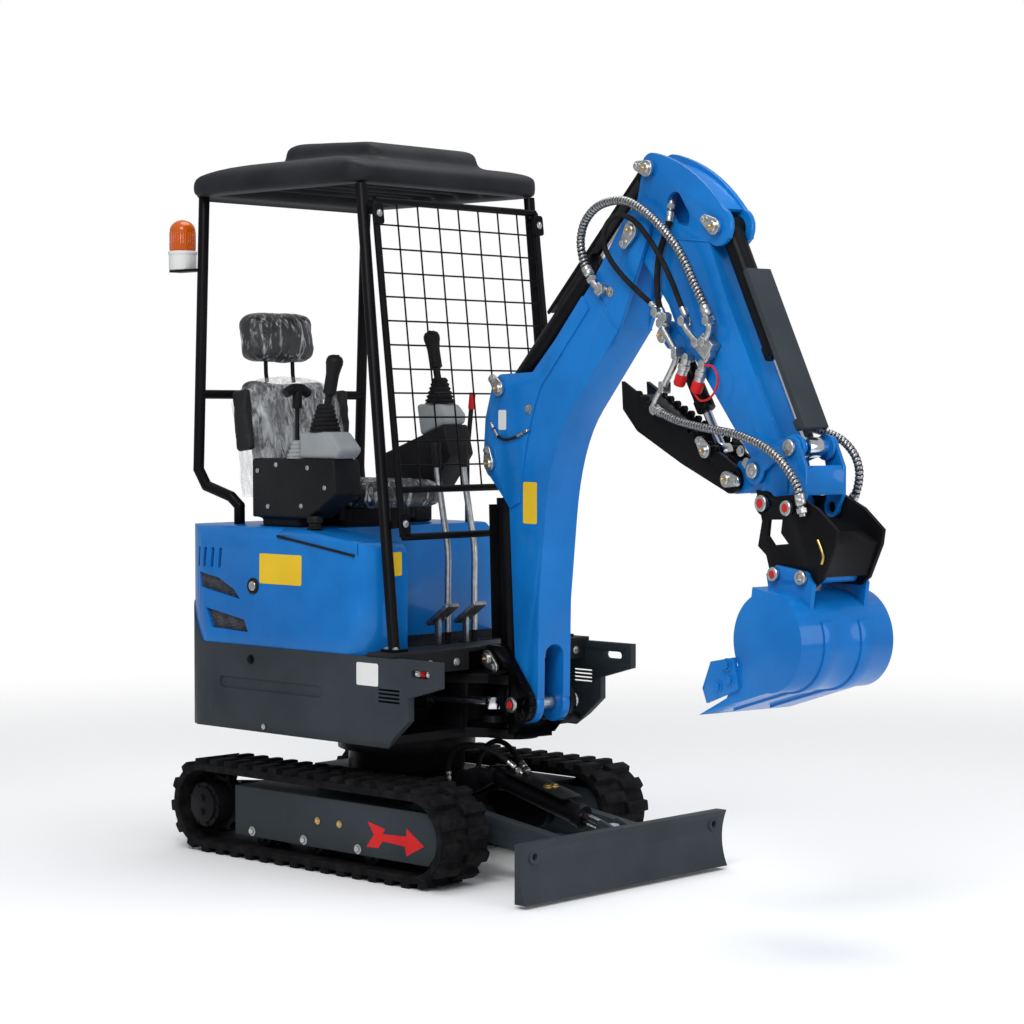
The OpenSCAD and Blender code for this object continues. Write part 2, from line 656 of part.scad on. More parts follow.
module swing_cylinder() color(black) swing_line() difference() {
  union() {
    translate([0, 0, 520]) cylinder(r = 30, h = 36);
    translate([18, 0, 538]) rotate([0, 90, 0]) cylinder(r = 30, h = 210);
  }
  translate([0, 0, 400]) cylinder(r = 16 + pin_gap, h = 200);
  translate([70, 0, 538]) rotate([0, 90, 0]) cylinder(r = 16 + rod_gap, h = 300);
}
module swing_rod() color(steel) swing_line() {
  reach = dist(swing_base, swing_pin);
  translate([reach - 270, 0, 538]) rotate([0, 90, 0]) cylinder(r = 16, h = 255);
  translate([reach, 0, 520]) cylinder(r = 26, h = 36);
}

module boom_side() {
  polygon(concat([[94, 575], [80, 797], [58, 1155], [75, 1400]],
    bend([110, 1480], [150, 1530], [272, 1627], 4), [[474, 1823], [610, 1926], [655, 1893], [599, 1679]],
    bend([370, 1443], [266, 1336], [240, 1105], 8), [[211, 861], [205, 561]]));
  translate(foot) circle(60);
}
// Doubler plate on each side, from the ears up the boom's upper edge
doubler_t = 6;
module boom_doubler() polygon(concat([[70, 1142], [-30, 1232], [-72, 1278], [-60, 1420], [-22, 1525],
  [30, 1556], [186, 1560], [300, 1656], [430, 1782], [462, 1744]],
  bend([230, 1520], [150, 1400], [120, 1160], 6)));
module boom_ear() {
  polygon([[70, 1130], [-30, 1232], [-72, 1278], [-60, 1420], [-22, 1525], [30, 1556], [180, 1556],
    [180, 1400]]);
  translate(boom_eye) circle(45);
  translate(dipper_base) circle(45);
}
module boom_fork() {
  polygon([[474, 1823], [628, 2006], [733, 1978], [720, 1920], [599, 1679]]);
  translate(dipper_pivot) circle(62);
}
// Arch between the boom's two feet, where the hoses pass
arch_half = 36;
arch_z = 690;
module foot_arch() {
  box(40, 340, -arch_half, arch_half, 440, arch_z);
  translate([40, 0, arch_z]) rotate([0, 90, 0]) cylinder(r = arch_half, h = 300);
}
module boom() color(blue) arm() difference() {
  union() {
    lateral(-boom_half, boom_half) boom_side();
    both(40, boom_half) boom_ear();
    both(boom_half - 1, boom_half + doubler_t) boom_doubler();
    both(49, boom_half) boom_fork();
    disc(dipper_pivot, pin_r, -boom_half - 14, boom_half + 14);
    both(36, boom_half + 14) translate(boom_eye) circle(pin_r);
    disc(dipper_base, pin_r, -boom_half - 14, boom_half + 14);
  }
  disc(foot, pin_r + pin_gap, -200, 200);
  foot_arch();
}
module boom_cylinder() color(black) arm() {
  barrel(boom_base, boom_eye, 38, 500, 22, 36, 34, 70);
  on_line(boom_base, boom_eye) {
    box(60, 480, -46, 46, 44, 50);
    box(100, 130, -12, 12, 36, 46);
    box(400, 430, -12, 12, 36, 46);
  }
}
module boom_rod() color(steel) arm() rod(boom_base, boom_eye, 22, 470, 34, 32);
module dipper_cylinder() color(black) arm() barrel(dipper_base, dipper_eye, 36, 560, 20, 36, 34, 60);
module dipper_rod() color(steel) arm() rod(dipper_base, dipper_eye, 20, 500, 32, 26);
// Folded guards, clamped to their rods and sliding past the barrels
module rod_guard(p, q, x0, x1, half, high, fold, clamp_x, rod_r) on_line(p, q) difference() {
  union() {
    box(x0, x1, -half, half, high, high + 6);
    both(half - 6, half) translate([x0, high - fold]) square([x1 - x0, fold + 1]);
    box(clamp_x, clamp_x + 30, -half, half, 10, high + 1);
  }
  translate([clamp_x - 20, 0, 0]) rotate([0, 90, 0]) cylinder(r = rod_r + seat_gap, h = 70);
}
module dipper_guard() color(black) arm() rod_guard(dipper_base, dipper_eye, 290, 925, 27, 48, 6, 862, 20);

module dipper_side() {
  polygon([[730, 1880], [845, 1676], [1169, 1304], [1219, 1200], [1305, 1190], [1310, 1260], [1277, 1360],
    [1056, 1755], [981, 1915], [900, 1940], [820, 1940]]);
  translate(hitch_pin) circle(44);
  translate(dipper_pivot) circle(44);
  polygon([[640, 1935], [845, 1700], [900, 1960], [700, 2000]]);
}
module dipper_cheek() difference() {
  union() {
    polygon(concat([[640, 1950], [730, 1880], [820, 1930], [981, 1915], [1010, 1902], [1066, 1920]],
      bend([1074, 1965], [950, 2128], [745, 2180], 10), [[694, 2172]]));
    translate(dipper_eye) circle(46);
    translate(bucket_base) circle(54);
  }
  for (c = [[832, 2032], [866, 1986]]) translate(c) circle(32);
  polygon([[806.3, 2013], [840.3, 1967], [891.7, 2005], [857.7, 2051]]);
}
// Cover strip let in between the head's cheeks
module head_strip() polygon(concat(bend([800, 2148], [930, 2108], [1035, 2004], 6),
  bend([1026, 1997], [924, 2099], [796, 2138], 6)));
module dipper() color(blue) arm() difference() {
  union() {
    lateral(-dipper_half, dipper_half) dipper_side();
    both(32, dipper_half) dipper_cheek();
    lateral(-33, 33) head_strip();
    both(28, 60) translate(dipper_eye) circle(pin_r);
    disc(bucket_base, pin_r, -60, 60);
    disc(hitch_pin, pin_r, -hitch_out - 6, hitch_out + 6);
    disc(rocker_pivot, pin_r, -64, 64);
    both(22, 34) polygon([[1210, 1306], [1236, 1220], [1084, 1210], [1060, 1260], [1100, 1302]]);
    disc(thumb_pivot, pin_r, -66, 66);
    both(24, 36) polygon([[786, 1700], [760, 1650], [790, 1620], [900, 1600], [860, 1690]]);
    disc(thumb_base, pin_r, -50, 50);
  }
  disc(dipper_pivot, pin_r + pin_gap, -100, 100);
}
module valve_block() color(steel) arm() translate([998, -dipper_half - 0.2, 1620]) rotate([0, 40, 0])
  translate([-28, -34, -28]) cube([56, 34, 56]);
module bucket_cylinder() color(black) arm() barrel(bucket_base, rocker_pin, 32, 410, 18, 32, 28, 60);
module bucket_rod() color(steel) arm() rod(bucket_base, rocker_pin, 18, 380, 28, 24);
module bucket_guard() color(slate) arm() rod_guard(bucket_base, rocker_pin, 162, 660, 44, 42, 14, 622, 18);
// The rocker's lower edge is hollowed to pass the hitch pin at full curl
module rocker_web() let (length = dist(rocker_pivot, rocker_pin)) polygon([[0, 34], [60, 40],
  [length - 55, 40], [length, 33], [length, -30], [length - 36, -13], [75, -9], [36, -16], [0, -34]]);
module rocker() color(blue) arm() difference() {
  union() {
    both(50, 60) {
      translate(rocker_pivot) rotate(along(rocker_pivot, rocker_pin)) rocker_web();
      translate(rocker_pivot) circle(38);
      translate(rocker_pin) circle(36);
    }
    both(28, 78) translate(rocker_pin) circle(pin_r);
  }
  disc(rocker_pivot, pin_r + pin_gap, -100, 100);
}
module link_side() {
  polygon([[1332, 1330], [1352, 1262], [1342, 1178], [1392, 1176], [1412, 1215], [1412, 1290],
    [1378, 1358]]);
  translate(rocker_pin) circle(32);
  translate(link_pin) circle(28);
}
module bucket_link() color(blue) arm() difference() {
  union() {
    both(63, 74) link_side();
    lateral(-64, 64)
      polygon([[1412, 1215], [1412, 1278], [1405, 1294], [1396, 1289], [1400, 1272], [1400, 1217]]);
  }
  disc(rocker_pin, pin_r + pin_gap, -100, 100);
  disc(link_pin, pin_r * 0.8, -100, 100);
}
thumb_tip = [602, 1528];
module thumb_outline() {
  circle(40);
  polygon([[0, -40], [60, -40], [286, -14], [556, 0], [510, 68], [421, 90], [200, 70], [0, 40]]);
  for (i = [0 : 11]) translate([100 + i * 34, -36 + i * 3]) circle(10);
}
module thumb() color(black) arm() difference() {
  union() {
    both(40, 54) translate(thumb_pivot) rotate(along(thumb_pivot, thumb_tip)) thumb_outline();
    lateral(-41, 41) translate(thumb_pivot) rotate(along(thumb_pivot, thumb_tip)) translate([300, 0])
      square([180, 20]);
    both(24, 66) translate(thumb_eye) circle(pin_r * 0.8);
  }
  disc(thumb_pivot, pin_r + pin_gap, -100, 100);
}
module thumb_cylinder() color(black) arm() barrel(thumb_base, thumb_eye, 24, 250, 13, 30, 20, 45);
module thumb_rod() color(steel) arm() rod(thumb_base, thumb_eye, 13, 250, 22, 18);

module hitch_window() polygon([[1284, 1146], [1338, 1148], [1332, 1112], [1362, 1084], [1302, 1078],
  [1278, 1102]]);
module hitch_side() difference() {
  hitch_plate();
  hitch_window();
}
module hitch_plate() {
  translate(hitch_pin) circle(34);
  translate(link_pin) circle(34);
  polygon([[1231, 1226], [1256, 1142], [1240, 1073], [1273, 1050], [1296, 985], [1320, 974], [1462, 972],
    [1496, 995], [1542, 1085], [1549, 1125], [1475, 1181], [1389, 1217], [1301, 1209]]);
}
module quick_hitch() color(black) arm() difference() {
  union() {
    both(hitch_in, hitch_out) hitch_side();
    lateral(-hitch_in - 1, hitch_in + 1) polygon([[1420, 1000], [1490, 1000], [1530, 1090], [1470, 1120]]);
    both(hitch_in, hitch_out + 10) translate(link_pin) circle(18);
  }
  disc(hitch_pin, pin_r + pin_gap, -100, 100);
  disc(bucket_pin_a, 16.2, -100, 100);
  disc(bucket_pin_b, 16.2, -100, 100);
}
bucket_c = [1365, 822];
bucket_r = 135;
shell_t = 9;
strip_t = 6;
module bucket_outer() {
  translate(bucket_c) circle(bucket_r);
  polygon([[1306, 968], [1365, 957], [1365, 687], [1087, 603], [1203, 660], [1282, 820]]);
}
module bucket_inner() {
  translate(bucket_c) circle(bucket_r - shell_t);
  polygon([[1200, 968], [1306, 958], [1365, 948], [1365, 697], [1050, 602], [1000, 800]]);
}
module bucket() color(blue) arm() {
  difference() {
    lateral(-bucket_half, bucket_half) bucket_outer();
    lateral(shell_t - bucket_half, bucket_half - shell_t) bucket_inner();
  }
  both(hitch_out + 2, hitch_out + 14) difference() {
    polygon([[1290, 1000], [1330, 1026], [1440, 1014], [1474, 980], [1461, 900], [1365, 940], [1300, 955]]);
    translate(bucket_c) circle(bucket_r - 4);
  }
  disc(bucket_pin_a, 16, -hitch_out - 20, hitch_out + 20);
  disc(bucket_pin_b, 16, -hitch_out - 20, hitch_out + 20);
  both(46, 88) {
    intersection() {
      translate(bucket_c) difference() {
        circle(bucket_r + strip_t);
        circle(bucket_r - 2);
      }
      translate([bucket_c[0], bucket_c[1] - 200]) square([300, 260]);
    }
    polygon([[1366, 690], [1366, 680.8], [1140, 612.5], [1140, 622]]);
  }
  both(bucket_half - 1, bucket_half + 9)
    polygon([[1146, 756], [1112, 680], [1130, 640], [1262, 690], [1240, 774]]);
}

track_left();
track_right();
track_frames();
sprockets();
idlers();
rollers();
lower_frame();
slew_ring();
blade();
blade_cylinder();
blade_rod();
deck();
counterweight();
engine_cover();
cover_grille();
filler_lid();
engine();
floor_plate();
pedals();
consoles();
console_tops();
control_levers();
seat_cushion();
seat_back();
armrests();
canopy_frame();
roof();
front_guard();
beacon_base();
beacon_dome();
swing_bracket();
swing_cylinder();
swing_rod();
boom();
boom_cylinder();
boom_rod();
dipper_cylinder();
dipper_rod();
dipper_guard();
dipper();
valve_block();
bucket_cylinder();
bucket_rod();
bucket_guard();
rocker();
bucket_link();
thumb();
thumb_cylinder();
thumb_rod();
quick_hitch();
bucket();
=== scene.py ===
"""Looks of a compact tracked excavator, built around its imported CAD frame.

Metres, with +X forward, +Y left and +Z up.
"""

import json
import math

import bmesh
import bpy
from mathutils import Matrix, Vector, noise


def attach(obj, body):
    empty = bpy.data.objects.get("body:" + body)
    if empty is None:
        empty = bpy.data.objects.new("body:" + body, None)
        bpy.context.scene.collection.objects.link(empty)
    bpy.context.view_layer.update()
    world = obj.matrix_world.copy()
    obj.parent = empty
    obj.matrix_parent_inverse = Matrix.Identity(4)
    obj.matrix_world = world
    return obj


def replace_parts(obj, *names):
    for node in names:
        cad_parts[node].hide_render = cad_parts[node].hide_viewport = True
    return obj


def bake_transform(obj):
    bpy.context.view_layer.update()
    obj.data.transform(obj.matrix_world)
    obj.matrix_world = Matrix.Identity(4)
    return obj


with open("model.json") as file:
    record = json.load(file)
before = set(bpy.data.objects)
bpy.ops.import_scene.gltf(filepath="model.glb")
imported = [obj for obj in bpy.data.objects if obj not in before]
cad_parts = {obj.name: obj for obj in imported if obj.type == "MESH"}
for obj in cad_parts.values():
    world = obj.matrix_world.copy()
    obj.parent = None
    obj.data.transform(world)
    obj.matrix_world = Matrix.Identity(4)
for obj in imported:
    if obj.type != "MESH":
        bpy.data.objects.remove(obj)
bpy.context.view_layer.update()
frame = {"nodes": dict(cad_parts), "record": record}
NODES = frame["nodes"]

# Slew centre, swing axis and camera, from which all places follow
ORIGIN_X = 0.644065
SWING_X = 0.484 - ORIGIN_X
SWING_REST = math.radians(-10.3)
CAMERA_AT = (5.976 - ORIGIN_X, -5.816, 1.429)
CAMERA_YAW = math.radians(133.41)
CAMERA_PITCH = math.radians(-2.17)
CAMERA_LENS = 89.9


def at(x, y, z):
    """A point given from the slew centre, in millimetres."""
    return Vector((x / 1000 - ORIGIN_X, y / 1000, z / 1000))


def arm(r, z, side=0.0):
    """A point in the plane of the arm: millimetres ahead of the swing axis, height, offset to the left."""
    c, s = math.cos(SWING_REST), math.sin(SWING_REST)
    return Vector((SWING_X + (r * c - side * s) / 1000, (r * s + side * c) / 1000, z / 1000))


LATERAL = Vector((-math.sin(SWING_REST), math.cos(SWING_REST), 0))


# Camera, light and floor
def aimed(name, data, place, ahead):
    """A camera or lamp at a place, looking along a direction."""
    thing = bpy.data.objects.new(name, data)
    bpy.context.scene.collection.objects.link(thing)
    thing.location = place
    thing.rotation_mode = "QUATERNION"
    thing.rotation_quaternion = ahead.to_track_quat("-Z", "Y")
    return thing


def make_camera():
    data = bpy.data.cameras.new("camera")
    data.lens = CAMERA_LENS
    data.sensor_width = 36
    ahead = Vector((math.cos(CAMERA_YAW) * math.cos(CAMERA_PITCH),
                    math.sin(CAMERA_YAW) * math.cos(CAMERA_PITCH), math.sin(CAMERA_PITCH)))
    bpy.context.scene.camera = aimed("camera", data, CAMERA_AT, ahead)


def area_light(name, place, target, size, power):
    data = bpy.data.lights.new(name, "AREA")
    data.shape = "DISK"
    data.size = size
    data.energy = power
    aimed(name, data, place, Vector(target) - Vector(place))


def node(tree, kind, feeds=(), **values):
    """A new shader node: values on its sockets, and pairs of what feeds it and the socket that takes it."""
    made = tree.nodes.new("ShaderNode" + kind)
    for socket, value in values.items():
        made.inputs[socket.replace("_", " ")].default_value = value
    for source, socket in feeds:
        tree.links.new(source, made.inputs[socket])
    return made


def seen_directly(tree):
    """1 for camera and transmission rays, 0 for the light that falls on the object and what it mirrors."""
    rays = node(tree, "LightPath").outputs
    either = node(tree, "Math", [(rays["Is Camera Ray"], 0), (rays["Is Transmission Ray"], 1)])
    either.operation = "MAXIMUM"
    return either.outputs[0]


def make_world(fill=0.5):
    world = bpy.data.worlds.new("studio")
    bpy.context.scene.world = world
    world.use_nodes = True
    tree = world.node_tree
    tree.nodes.clear()
    light = node(tree, "Background", Color=(0.93, 0.96, 1.0, 1), Strength=fill)
    white = node(tree, "Background", Color=(1, 1, 1, 1))
    mix = node(tree, "MixShader", [(seen_directly(tree), 0), (light.outputs[0], 1), (white.outputs[0], 2)])
    node(tree, "OutputWorld", [(mix.outputs[0], 0)])


def make_floor(radius=9.0, clear_from=2.6):
    """A pale disc that keeps the shadow and fades into the white surroundings."""
    mesh = bpy.data.meshes.new("floor")
    form = bmesh.new()
    bmesh.ops.create_circle(form, cap_ends=True, radius=radius, segments=96)
    form.to_mesh(mesh)
    form.free()
    floor = bpy.data.objects.new("floor", mesh)
    bpy.context.scene.collection.objects.link(floor)
    material = bpy.data.materials.new("floor")
    material.use_nodes = True
    tree = material.node_tree
    tree.nodes.clear()
    diffuse = node(tree, "BsdfDiffuse", Color=(0.93, 0.93, 0.93, 1))
    clear = node(tree, "BsdfTransparent")
    length = node(tree, "VectorMath", [(node(tree, "NewGeometry").outputs["Position"], 0)])
    length.operation = "LENGTH"
    fade = node(tree, "MapRange", [(length.outputs["Value"], "Value")], From_Min=clear_from,
                From_Max=radius * 0.75)
    fade.interpolation_type = "SMOOTHSTEP"
    mix = node(tree, "MixShader", [(fade.outputs[0], 0), (diffuse.outputs[0], 1), (clear.outputs[0], 2)])
    node(tree, "OutputMaterial", [(mix.outputs[0], 0)])
    mesh.materials.append(material)


bpy.context.scene.view_settings.view_transform = "Standard"
make_camera()
make_world()
area_light("key", (2.6, -4.6, 5.4), (0, 0, 0.9), 3.4, 235)
area_light("sky", (-0.6, 0.8, 6.5), (0, 0, 1.0), 4.5, 190)
area_light("fill", (6.0, 0.6, 2.2), (0.3, 0, 1.0), 3.2, 85)
make_floor()


# Materials
def principled(name, color, rough, metal=0.0, **sockets):
    """A principled material and what its other nodes hang on."""
    material = bpy.data.materials.new(name)
    material.use_nodes = True
    tree = material.node_tree
    shader = tree.nodes["Principled BSDF"]
    shader.inputs["Base Color"].default_value = (*color, 1)
    shader.inputs["Roughness"].default_value = rough
    shader.inputs["Metallic"].default_value = metal
    for socket, value in sockets.items():
        shader.inputs[socket.replace("_", " ")].default_value = value
    return material, tree, shader


def object_coords(tree):
    return node(tree, "TexCoord").outputs["Object"]


def noise_node(tree, scale, detail=4.0, rough=0.55):
    feeds = [(object_coords(tree), "Vector")]
    return node(tree, "TexNoise", feeds, Scale=scale, Detail=detail, Roughness=rough).outputs["Fac"]


def voronoi_node(tree, scale):
    return node(tree, "TexVoronoi", [(object_coords(tree), "Vector")], Scale=scale).outputs["Distance"]


def tint(tree, shader, fac, dark, light, low=0.35, high=0.65):
    """Varies the base colour between two colours."""
    ramp = node(tree, "ValToRGB", [(fac, 0)])
    ramp.color_ramp.elements[0].position = low
    ramp.color_ramp.elements[0].color = (*dark, 1)
    ramp.color_ramp.elements[1].position = high
    ramp.color_ramp.elements[1].color = (*light, 1)
    tree.links.new(ramp.outputs[0], shader.inputs["Base Color"])


def gloss(tree, shader, fac, low, high):
    """Varies the roughness between two values."""
    spread = node(tree, "MapRange", [(fac, "Value")], To_Min=low, To_Max=high)
    tree.links.new(spread.outputs[0], shader.inputs["Roughness"])


def bump(tree, shader, fac, strength, distance=0.001, socket="Normal"):
    """Gives the surface, or its coat, a fine relief."""
    relief = node(tree, "Bump", [(fac, "Height")], Strength=strength, Distance=distance)
    tree.links.new(relief.outputs[0], shader.inputs[socket])


def paint(name, dark, light, rough, coat, peel=0.05, peel_scale=240, shine=0.10):
    """Sprayed paint: a little drift in colour and gloss, and orange peel."""
    material, tree, shader = principled(name, light, rough, Coat_Weight=coat, Coat_Roughness=0.07,
                                        Specular_IOR_Level=shine)
    tint(tree, shader, noise_node(tree, 3.5), dark, light)
    gloss(tree, shader, noise_node(tree, 26), rough - 0.06, rough + 0.06)
    bump(tree, shader, noise_node(tree, peel_scale, 2), peel)
    return material


def grained(name, dark, light, rough, scale, strength):
    """Moulded plastic with a leather-like grain."""
    material, tree, shader = principled(name, light, rough, Specular_IOR_Level=0.14)
    tint(tree, shader, noise_node(tree, 5), dark, light)
    gloss(tree, shader, noise_node(tree, 60), rough - 0.07, rough + 0.07)
    bump(tree, shader, voronoi_node(tree, scale), strength)
    return material


def worn_metal(name, dark, light, rough, scale=70, strength=0.1):
    material, tree, shader = principled(name, light, rough, 1.0)
    tint(tree, shader, noise_node(tree, scale), dark, light)
    gloss(tree, shader, noise_node(tree, scale * 1.7), rough - 0.08, rough + 0.1)
    bump(tree, shader, noise_node(tree, scale * 6), strength, 0.0004)
    return material


def rubber(name, dark, light):
    """Matt rubber with dusty patches and a fine mould texture."""
    material, tree, shader = principled(name, dark, 0.8, Specular_IOR_Level=0.1)
    tint(tree, shader, noise_node(tree, 22, 8, 0.7), dark, light, 0.42, 0.78)
    gloss(tree, shader, noise_node(tree, 45), 0.62, 0.86)
    bump(tree, shader, noise_node(tree, 300, 4), 0.25)
    return material


def amber_glass():
    material, tree, shader = principled("amber", (0.62, 0.10, 0.002), 0.14, Transmission_Weight=0.15,
                                        IOR=1.45, Coat_Weight=0.15)
    gloss(tree, shader, noise_node(tree, 90), 0.08, 0.2)
    return material


BLUE = paint("blue_paint", (0.004, 0.130, 0.43), (0.006, 0.175, 0.54), 0.3, 0.25)
SLATE = paint("slate_paint", (0.028, 0.035, 0.041), (0.039, 0.048, 0.056), 0.5, 0.0, 0.14, 420)
BLACK = paint("black_paint", (0.003, 0.003, 0.004), (0.006, 0.006, 0.007), 0.4, 0.02, 0.08, 300, 0.08)
PLASTIC = grained("black_plastic", (0.006, 0.006, 0.007), (0.013, 0.013, 0.014), 0.5, 900, 0.22)
ROOF_PLASTIC = grained("roof_plastic", (0.011, 0.012, 0.014), (0.019, 0.020, 0.023), 0.5, 700, 0.25)
GREY = grained("grey_plastic", (0.27, 0.29, 0.30), (0.36, 0.38, 0.39), 0.48, 900, 0.15)
RUBBER = rubber("track_rubber", (0.003, 0.003, 0.004), (0.017, 0.017, 0.017))
CHROME = worn_metal("chrome", (0.62, 0.63, 0.65), (0.76, 0.77, 0.79), 0.16, 50, 0.04)
ZINC = worn_metal("zinc", (0.42, 0.42, 0.41), (0.60, 0.60, 0.59), 0.34, 90, 0.14)
BRASS = worn_metal("brass", (0.52, 0.36, 0.12), (0.70, 0.50, 0.19), 0.3, 120, 0.1)
ALUMINIUM = worn_metal("aluminium", (0.42, 0.43, 0.44), (0.60, 0.61, 0.62), 0.38, 60, 0.15)
FLOOR_STEEL = paint("floor_steel", (0.012, 0.012, 0.013), (0.022, 0.022, 0.024), 0.5, 0.0, 0.2, 200)
IRON = worn_metal("iron", (0.10, 0.10, 0.11), (0.17, 0.17, 0.18), 0.6, 40, 0.3)
WHITE = grained("white_plastic", (0.70, 0.70, 0.68), (0.78, 0.78, 0.76), 0.35, 600, 0.05)
RED = paint("red", (0.56, 0.012, 0.014), (0.68, 0.018, 0.018), 0.4, 0.1)
YELLOW = paint("yellow", (0.72, 0.46, 0.02), (0.80, 0.54, 0.03), 0.45, 0.1)
HOSE = rubber("hose_rubber", (0.010, 0.010, 0.011), (0.024, 0.024, 0.024))
WRAP = worn_metal("hose_spring", (0.26, 0.265, 0.27), (0.40, 0.405, 0.41), 0.36, 120, 0.1)
VINYL = grained("seat_vinyl", (0.012, 0.012, 0.013), (0.022, 0.022, 0.023), 0.5, 450, 0.3)
AMBER = amber_glass()

# Finish of each slot in the record, and the slot that each finish of an added piece counts to
FINISH = {"track_rubber": RUBBER, "slate_paint": SLATE, "black_paint": BLACK, "chrome_rod": CHROME,
          "blue_paint": BLUE, "engine_iron": IRON, "floor_aluminium": FLOOR_STEEL, "black_plastic": PLASTIC,
          "grey_plastic": GREY, "seat_vinyl": VINYL, "white_plastic": WHITE, "amber_plastic": AMBER,
          "zinc_steel": ZINC}
SLOTS = {finish: slot for slot, finish in FINISH.items()}
SLOTS.update({BRASS: "zinc_steel", ALUMINIUM: "zinc_steel", IRON: "zinc_steel", RED: "black_plastic",
              YELLOW: "amber_plastic", HOSE: "track_rubber", WRAP: "track_rubber"})


# Mesh helpers
def stand(place, axis=(0, 0, 1), toward=(0, 0, 1)):
    """A frame at a place, its z along axis and its x as near as can be to toward, or +X if that is axis."""
    z = Vector(axis).normalized()
    hint = Vector(toward)
    if abs(z.dot(hint.normalized())) > 0.98:
        hint = Vector((1, 0, 0))
    y = z.cross(hint).normalized()
    axes = Matrix((y.cross(z), y, z)).transposed().to_4x4()
    axes.translation = place
    return axes


def finished(name, form, material, body="house", smooth=38, slot=None):
    """Turns a form into a named piece with its finish, riding on a body if one is given."""
    bmesh.ops.recalc_face_normals(form, faces=form.faces)
    mesh = bpy.data.meshes.new(name)
    form.to_mesh(mesh)
    form.free()
    mesh.materials.append(material)
    mesh.polygons.foreach_set("use_smooth", [True] * len(mesh.polygons))
    mesh.set_sharp_from_angle(angle=math.radians(smooth))
    piece = bpy.data.objects.new(name, mesh)
    bpy.context.scene.collection.objects.link(piece)
    if body:
        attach(piece, body)
    slot or SLOTS[material]
    return piece


def skin(form, rings, open_foot=False):
    """Faces from each ring of points to the next, and over the two ends."""
    for lower, upper in zip(rings, rings[1:]):
        for i in range(len(lower)):
            j = (i + 1) % len(lower)
            form.faces.new((lower[i], lower[j], upper[j], upper[i]))
    if not open_foot:
        form.faces.new(rings[0][::-1])
    form.faces.new(rings[-1])


def revolve(form, place, profile, sides=24):
    """A turned solid: profile lists radius and height along the frame's z."""
    turns = [2 * math.pi * i / sides for i in range(sides)]
    skin(form, [[form.verts.new(place @ Vector((radius * math.cos(a), radius * math.sin(a), height)))
                 for a in turns] for radius, height in profile])


def inset(outline, gap):
    """An outline, counterclockwise, moved inwards by a gap."""
    moved = []
    for i, point in enumerate(outline):
        before = (point - outline[i - 1]).normalized()
        after = (outline[(i + 1) % len(outline)] - point).normalized()
        bisector = Vector((-before.y - after.y, before.x + after.x))
        if bisector.length < 1e-6:
            bisector = Vector((-before.y, before.x))
        bisector.normalize()
        slant = max(0.35, bisector.dot(Vector((-before.y, before.x))))
        moved.append(point + bisector * (gap / slant))
    return moved


def prism(form, place, outline, low, high, chamfer=0.0):
    """A solid over a flat outline in the frame's x and y, its upper edge broken by a chamfer."""
    outline = [Vector(p) for p in outline]
    levels = [(outline, low), (outline, high - chamfer)]
    if chamfer:
        levels.append((inset(outline, chamfer), high))
    rings = [[form.verts.new(place @ Vector((p.x, p.y, z))) for p in points] for points, z in levels]
    skin(form, rings)


def arc(centre, radius, start, stop, count):
    """Points on an arc, angles in degrees."""
    angles = [math.radians(start + (stop - start) * i / (count - 1)) for i in range(count)]
    return [Vector((centre[0] + radius * math.cos(a), centre[1] + radius * math.sin(a))) for a in angles]


def hexagon(radius):
    return arc((0, 0), radius, 0, 300, 6)


def rounded(width, height, radius, count=5):
    """A rectangle with round corners about its own middle."""
    x, y = width / 2 - radius, height / 2 - radius
    return (arc((x, -y), radius, -90, 0, count) + arc((x, y), radius, 0, 90, count)
            + arc((-x, y), radius, 90, 180, count) + arc((-x, -y), radius, 180, 270, count))


def pear(large, small, reach):
    """Outline of a plate that narrows from a large round end to a small one at reach along x."""
    lean = math.degrees(math.acos((large - small) / reach))
    return arc((0, 0), large, lean, 360 - lean, 17) + arc((reach, 0), small, -lean, lean, 9)


SPAN_STEPS = 24


def smooth_path(points, step):
    """A smooth curve through points, sampled at about equal steps."""
    fine = []
    ends = [2 * points[0] - points[1], *points, 2 * points[-1] - points[-2]]
    for a, b, c, d in zip(ends, ends[1:], ends[2:], ends[3:]):
        for i in range(SPAN_STEPS):
            t = i / SPAN_STEPS
            fine.append(0.5 * (2 * b + (c - a) * t + (2 * a - 5 * b + 4 * c - d) * t ** 2
                               + (3 * b - a - 3 * c + d) * t ** 3))
    fine.append(points[-1])
    lengths = [0.0]
    for a, b in zip(fine, fine[1:]):
        lengths.append(lengths[-1] + (b - a).length)
    count = max(2, round(lengths[-1] / step))
    path, k = [], 0
    for i in range(count + 1):
        target = lengths[-1] * i / count
        while k < len(lengths) - 2 and lengths[k + 1] < target:
            k += 1
        span = lengths[k + 1] - lengths[k]
        path.append(fine[k].lerp(fine[k + 1], (target - lengths[k]) / span if span else 0))
    return path


def path_length(path):
    return sum((b - a).length for a, b in zip(path, path[1:]))


GAP_SHARE = 0.4


def in_gap(run, pitch, share):
    """Whether a spot, some run along a spring guard and some share of a turn round it, lies in its gap."""
    return abs((run / pitch + share) % 1 - 0.5) < GAP_SHARE / 2


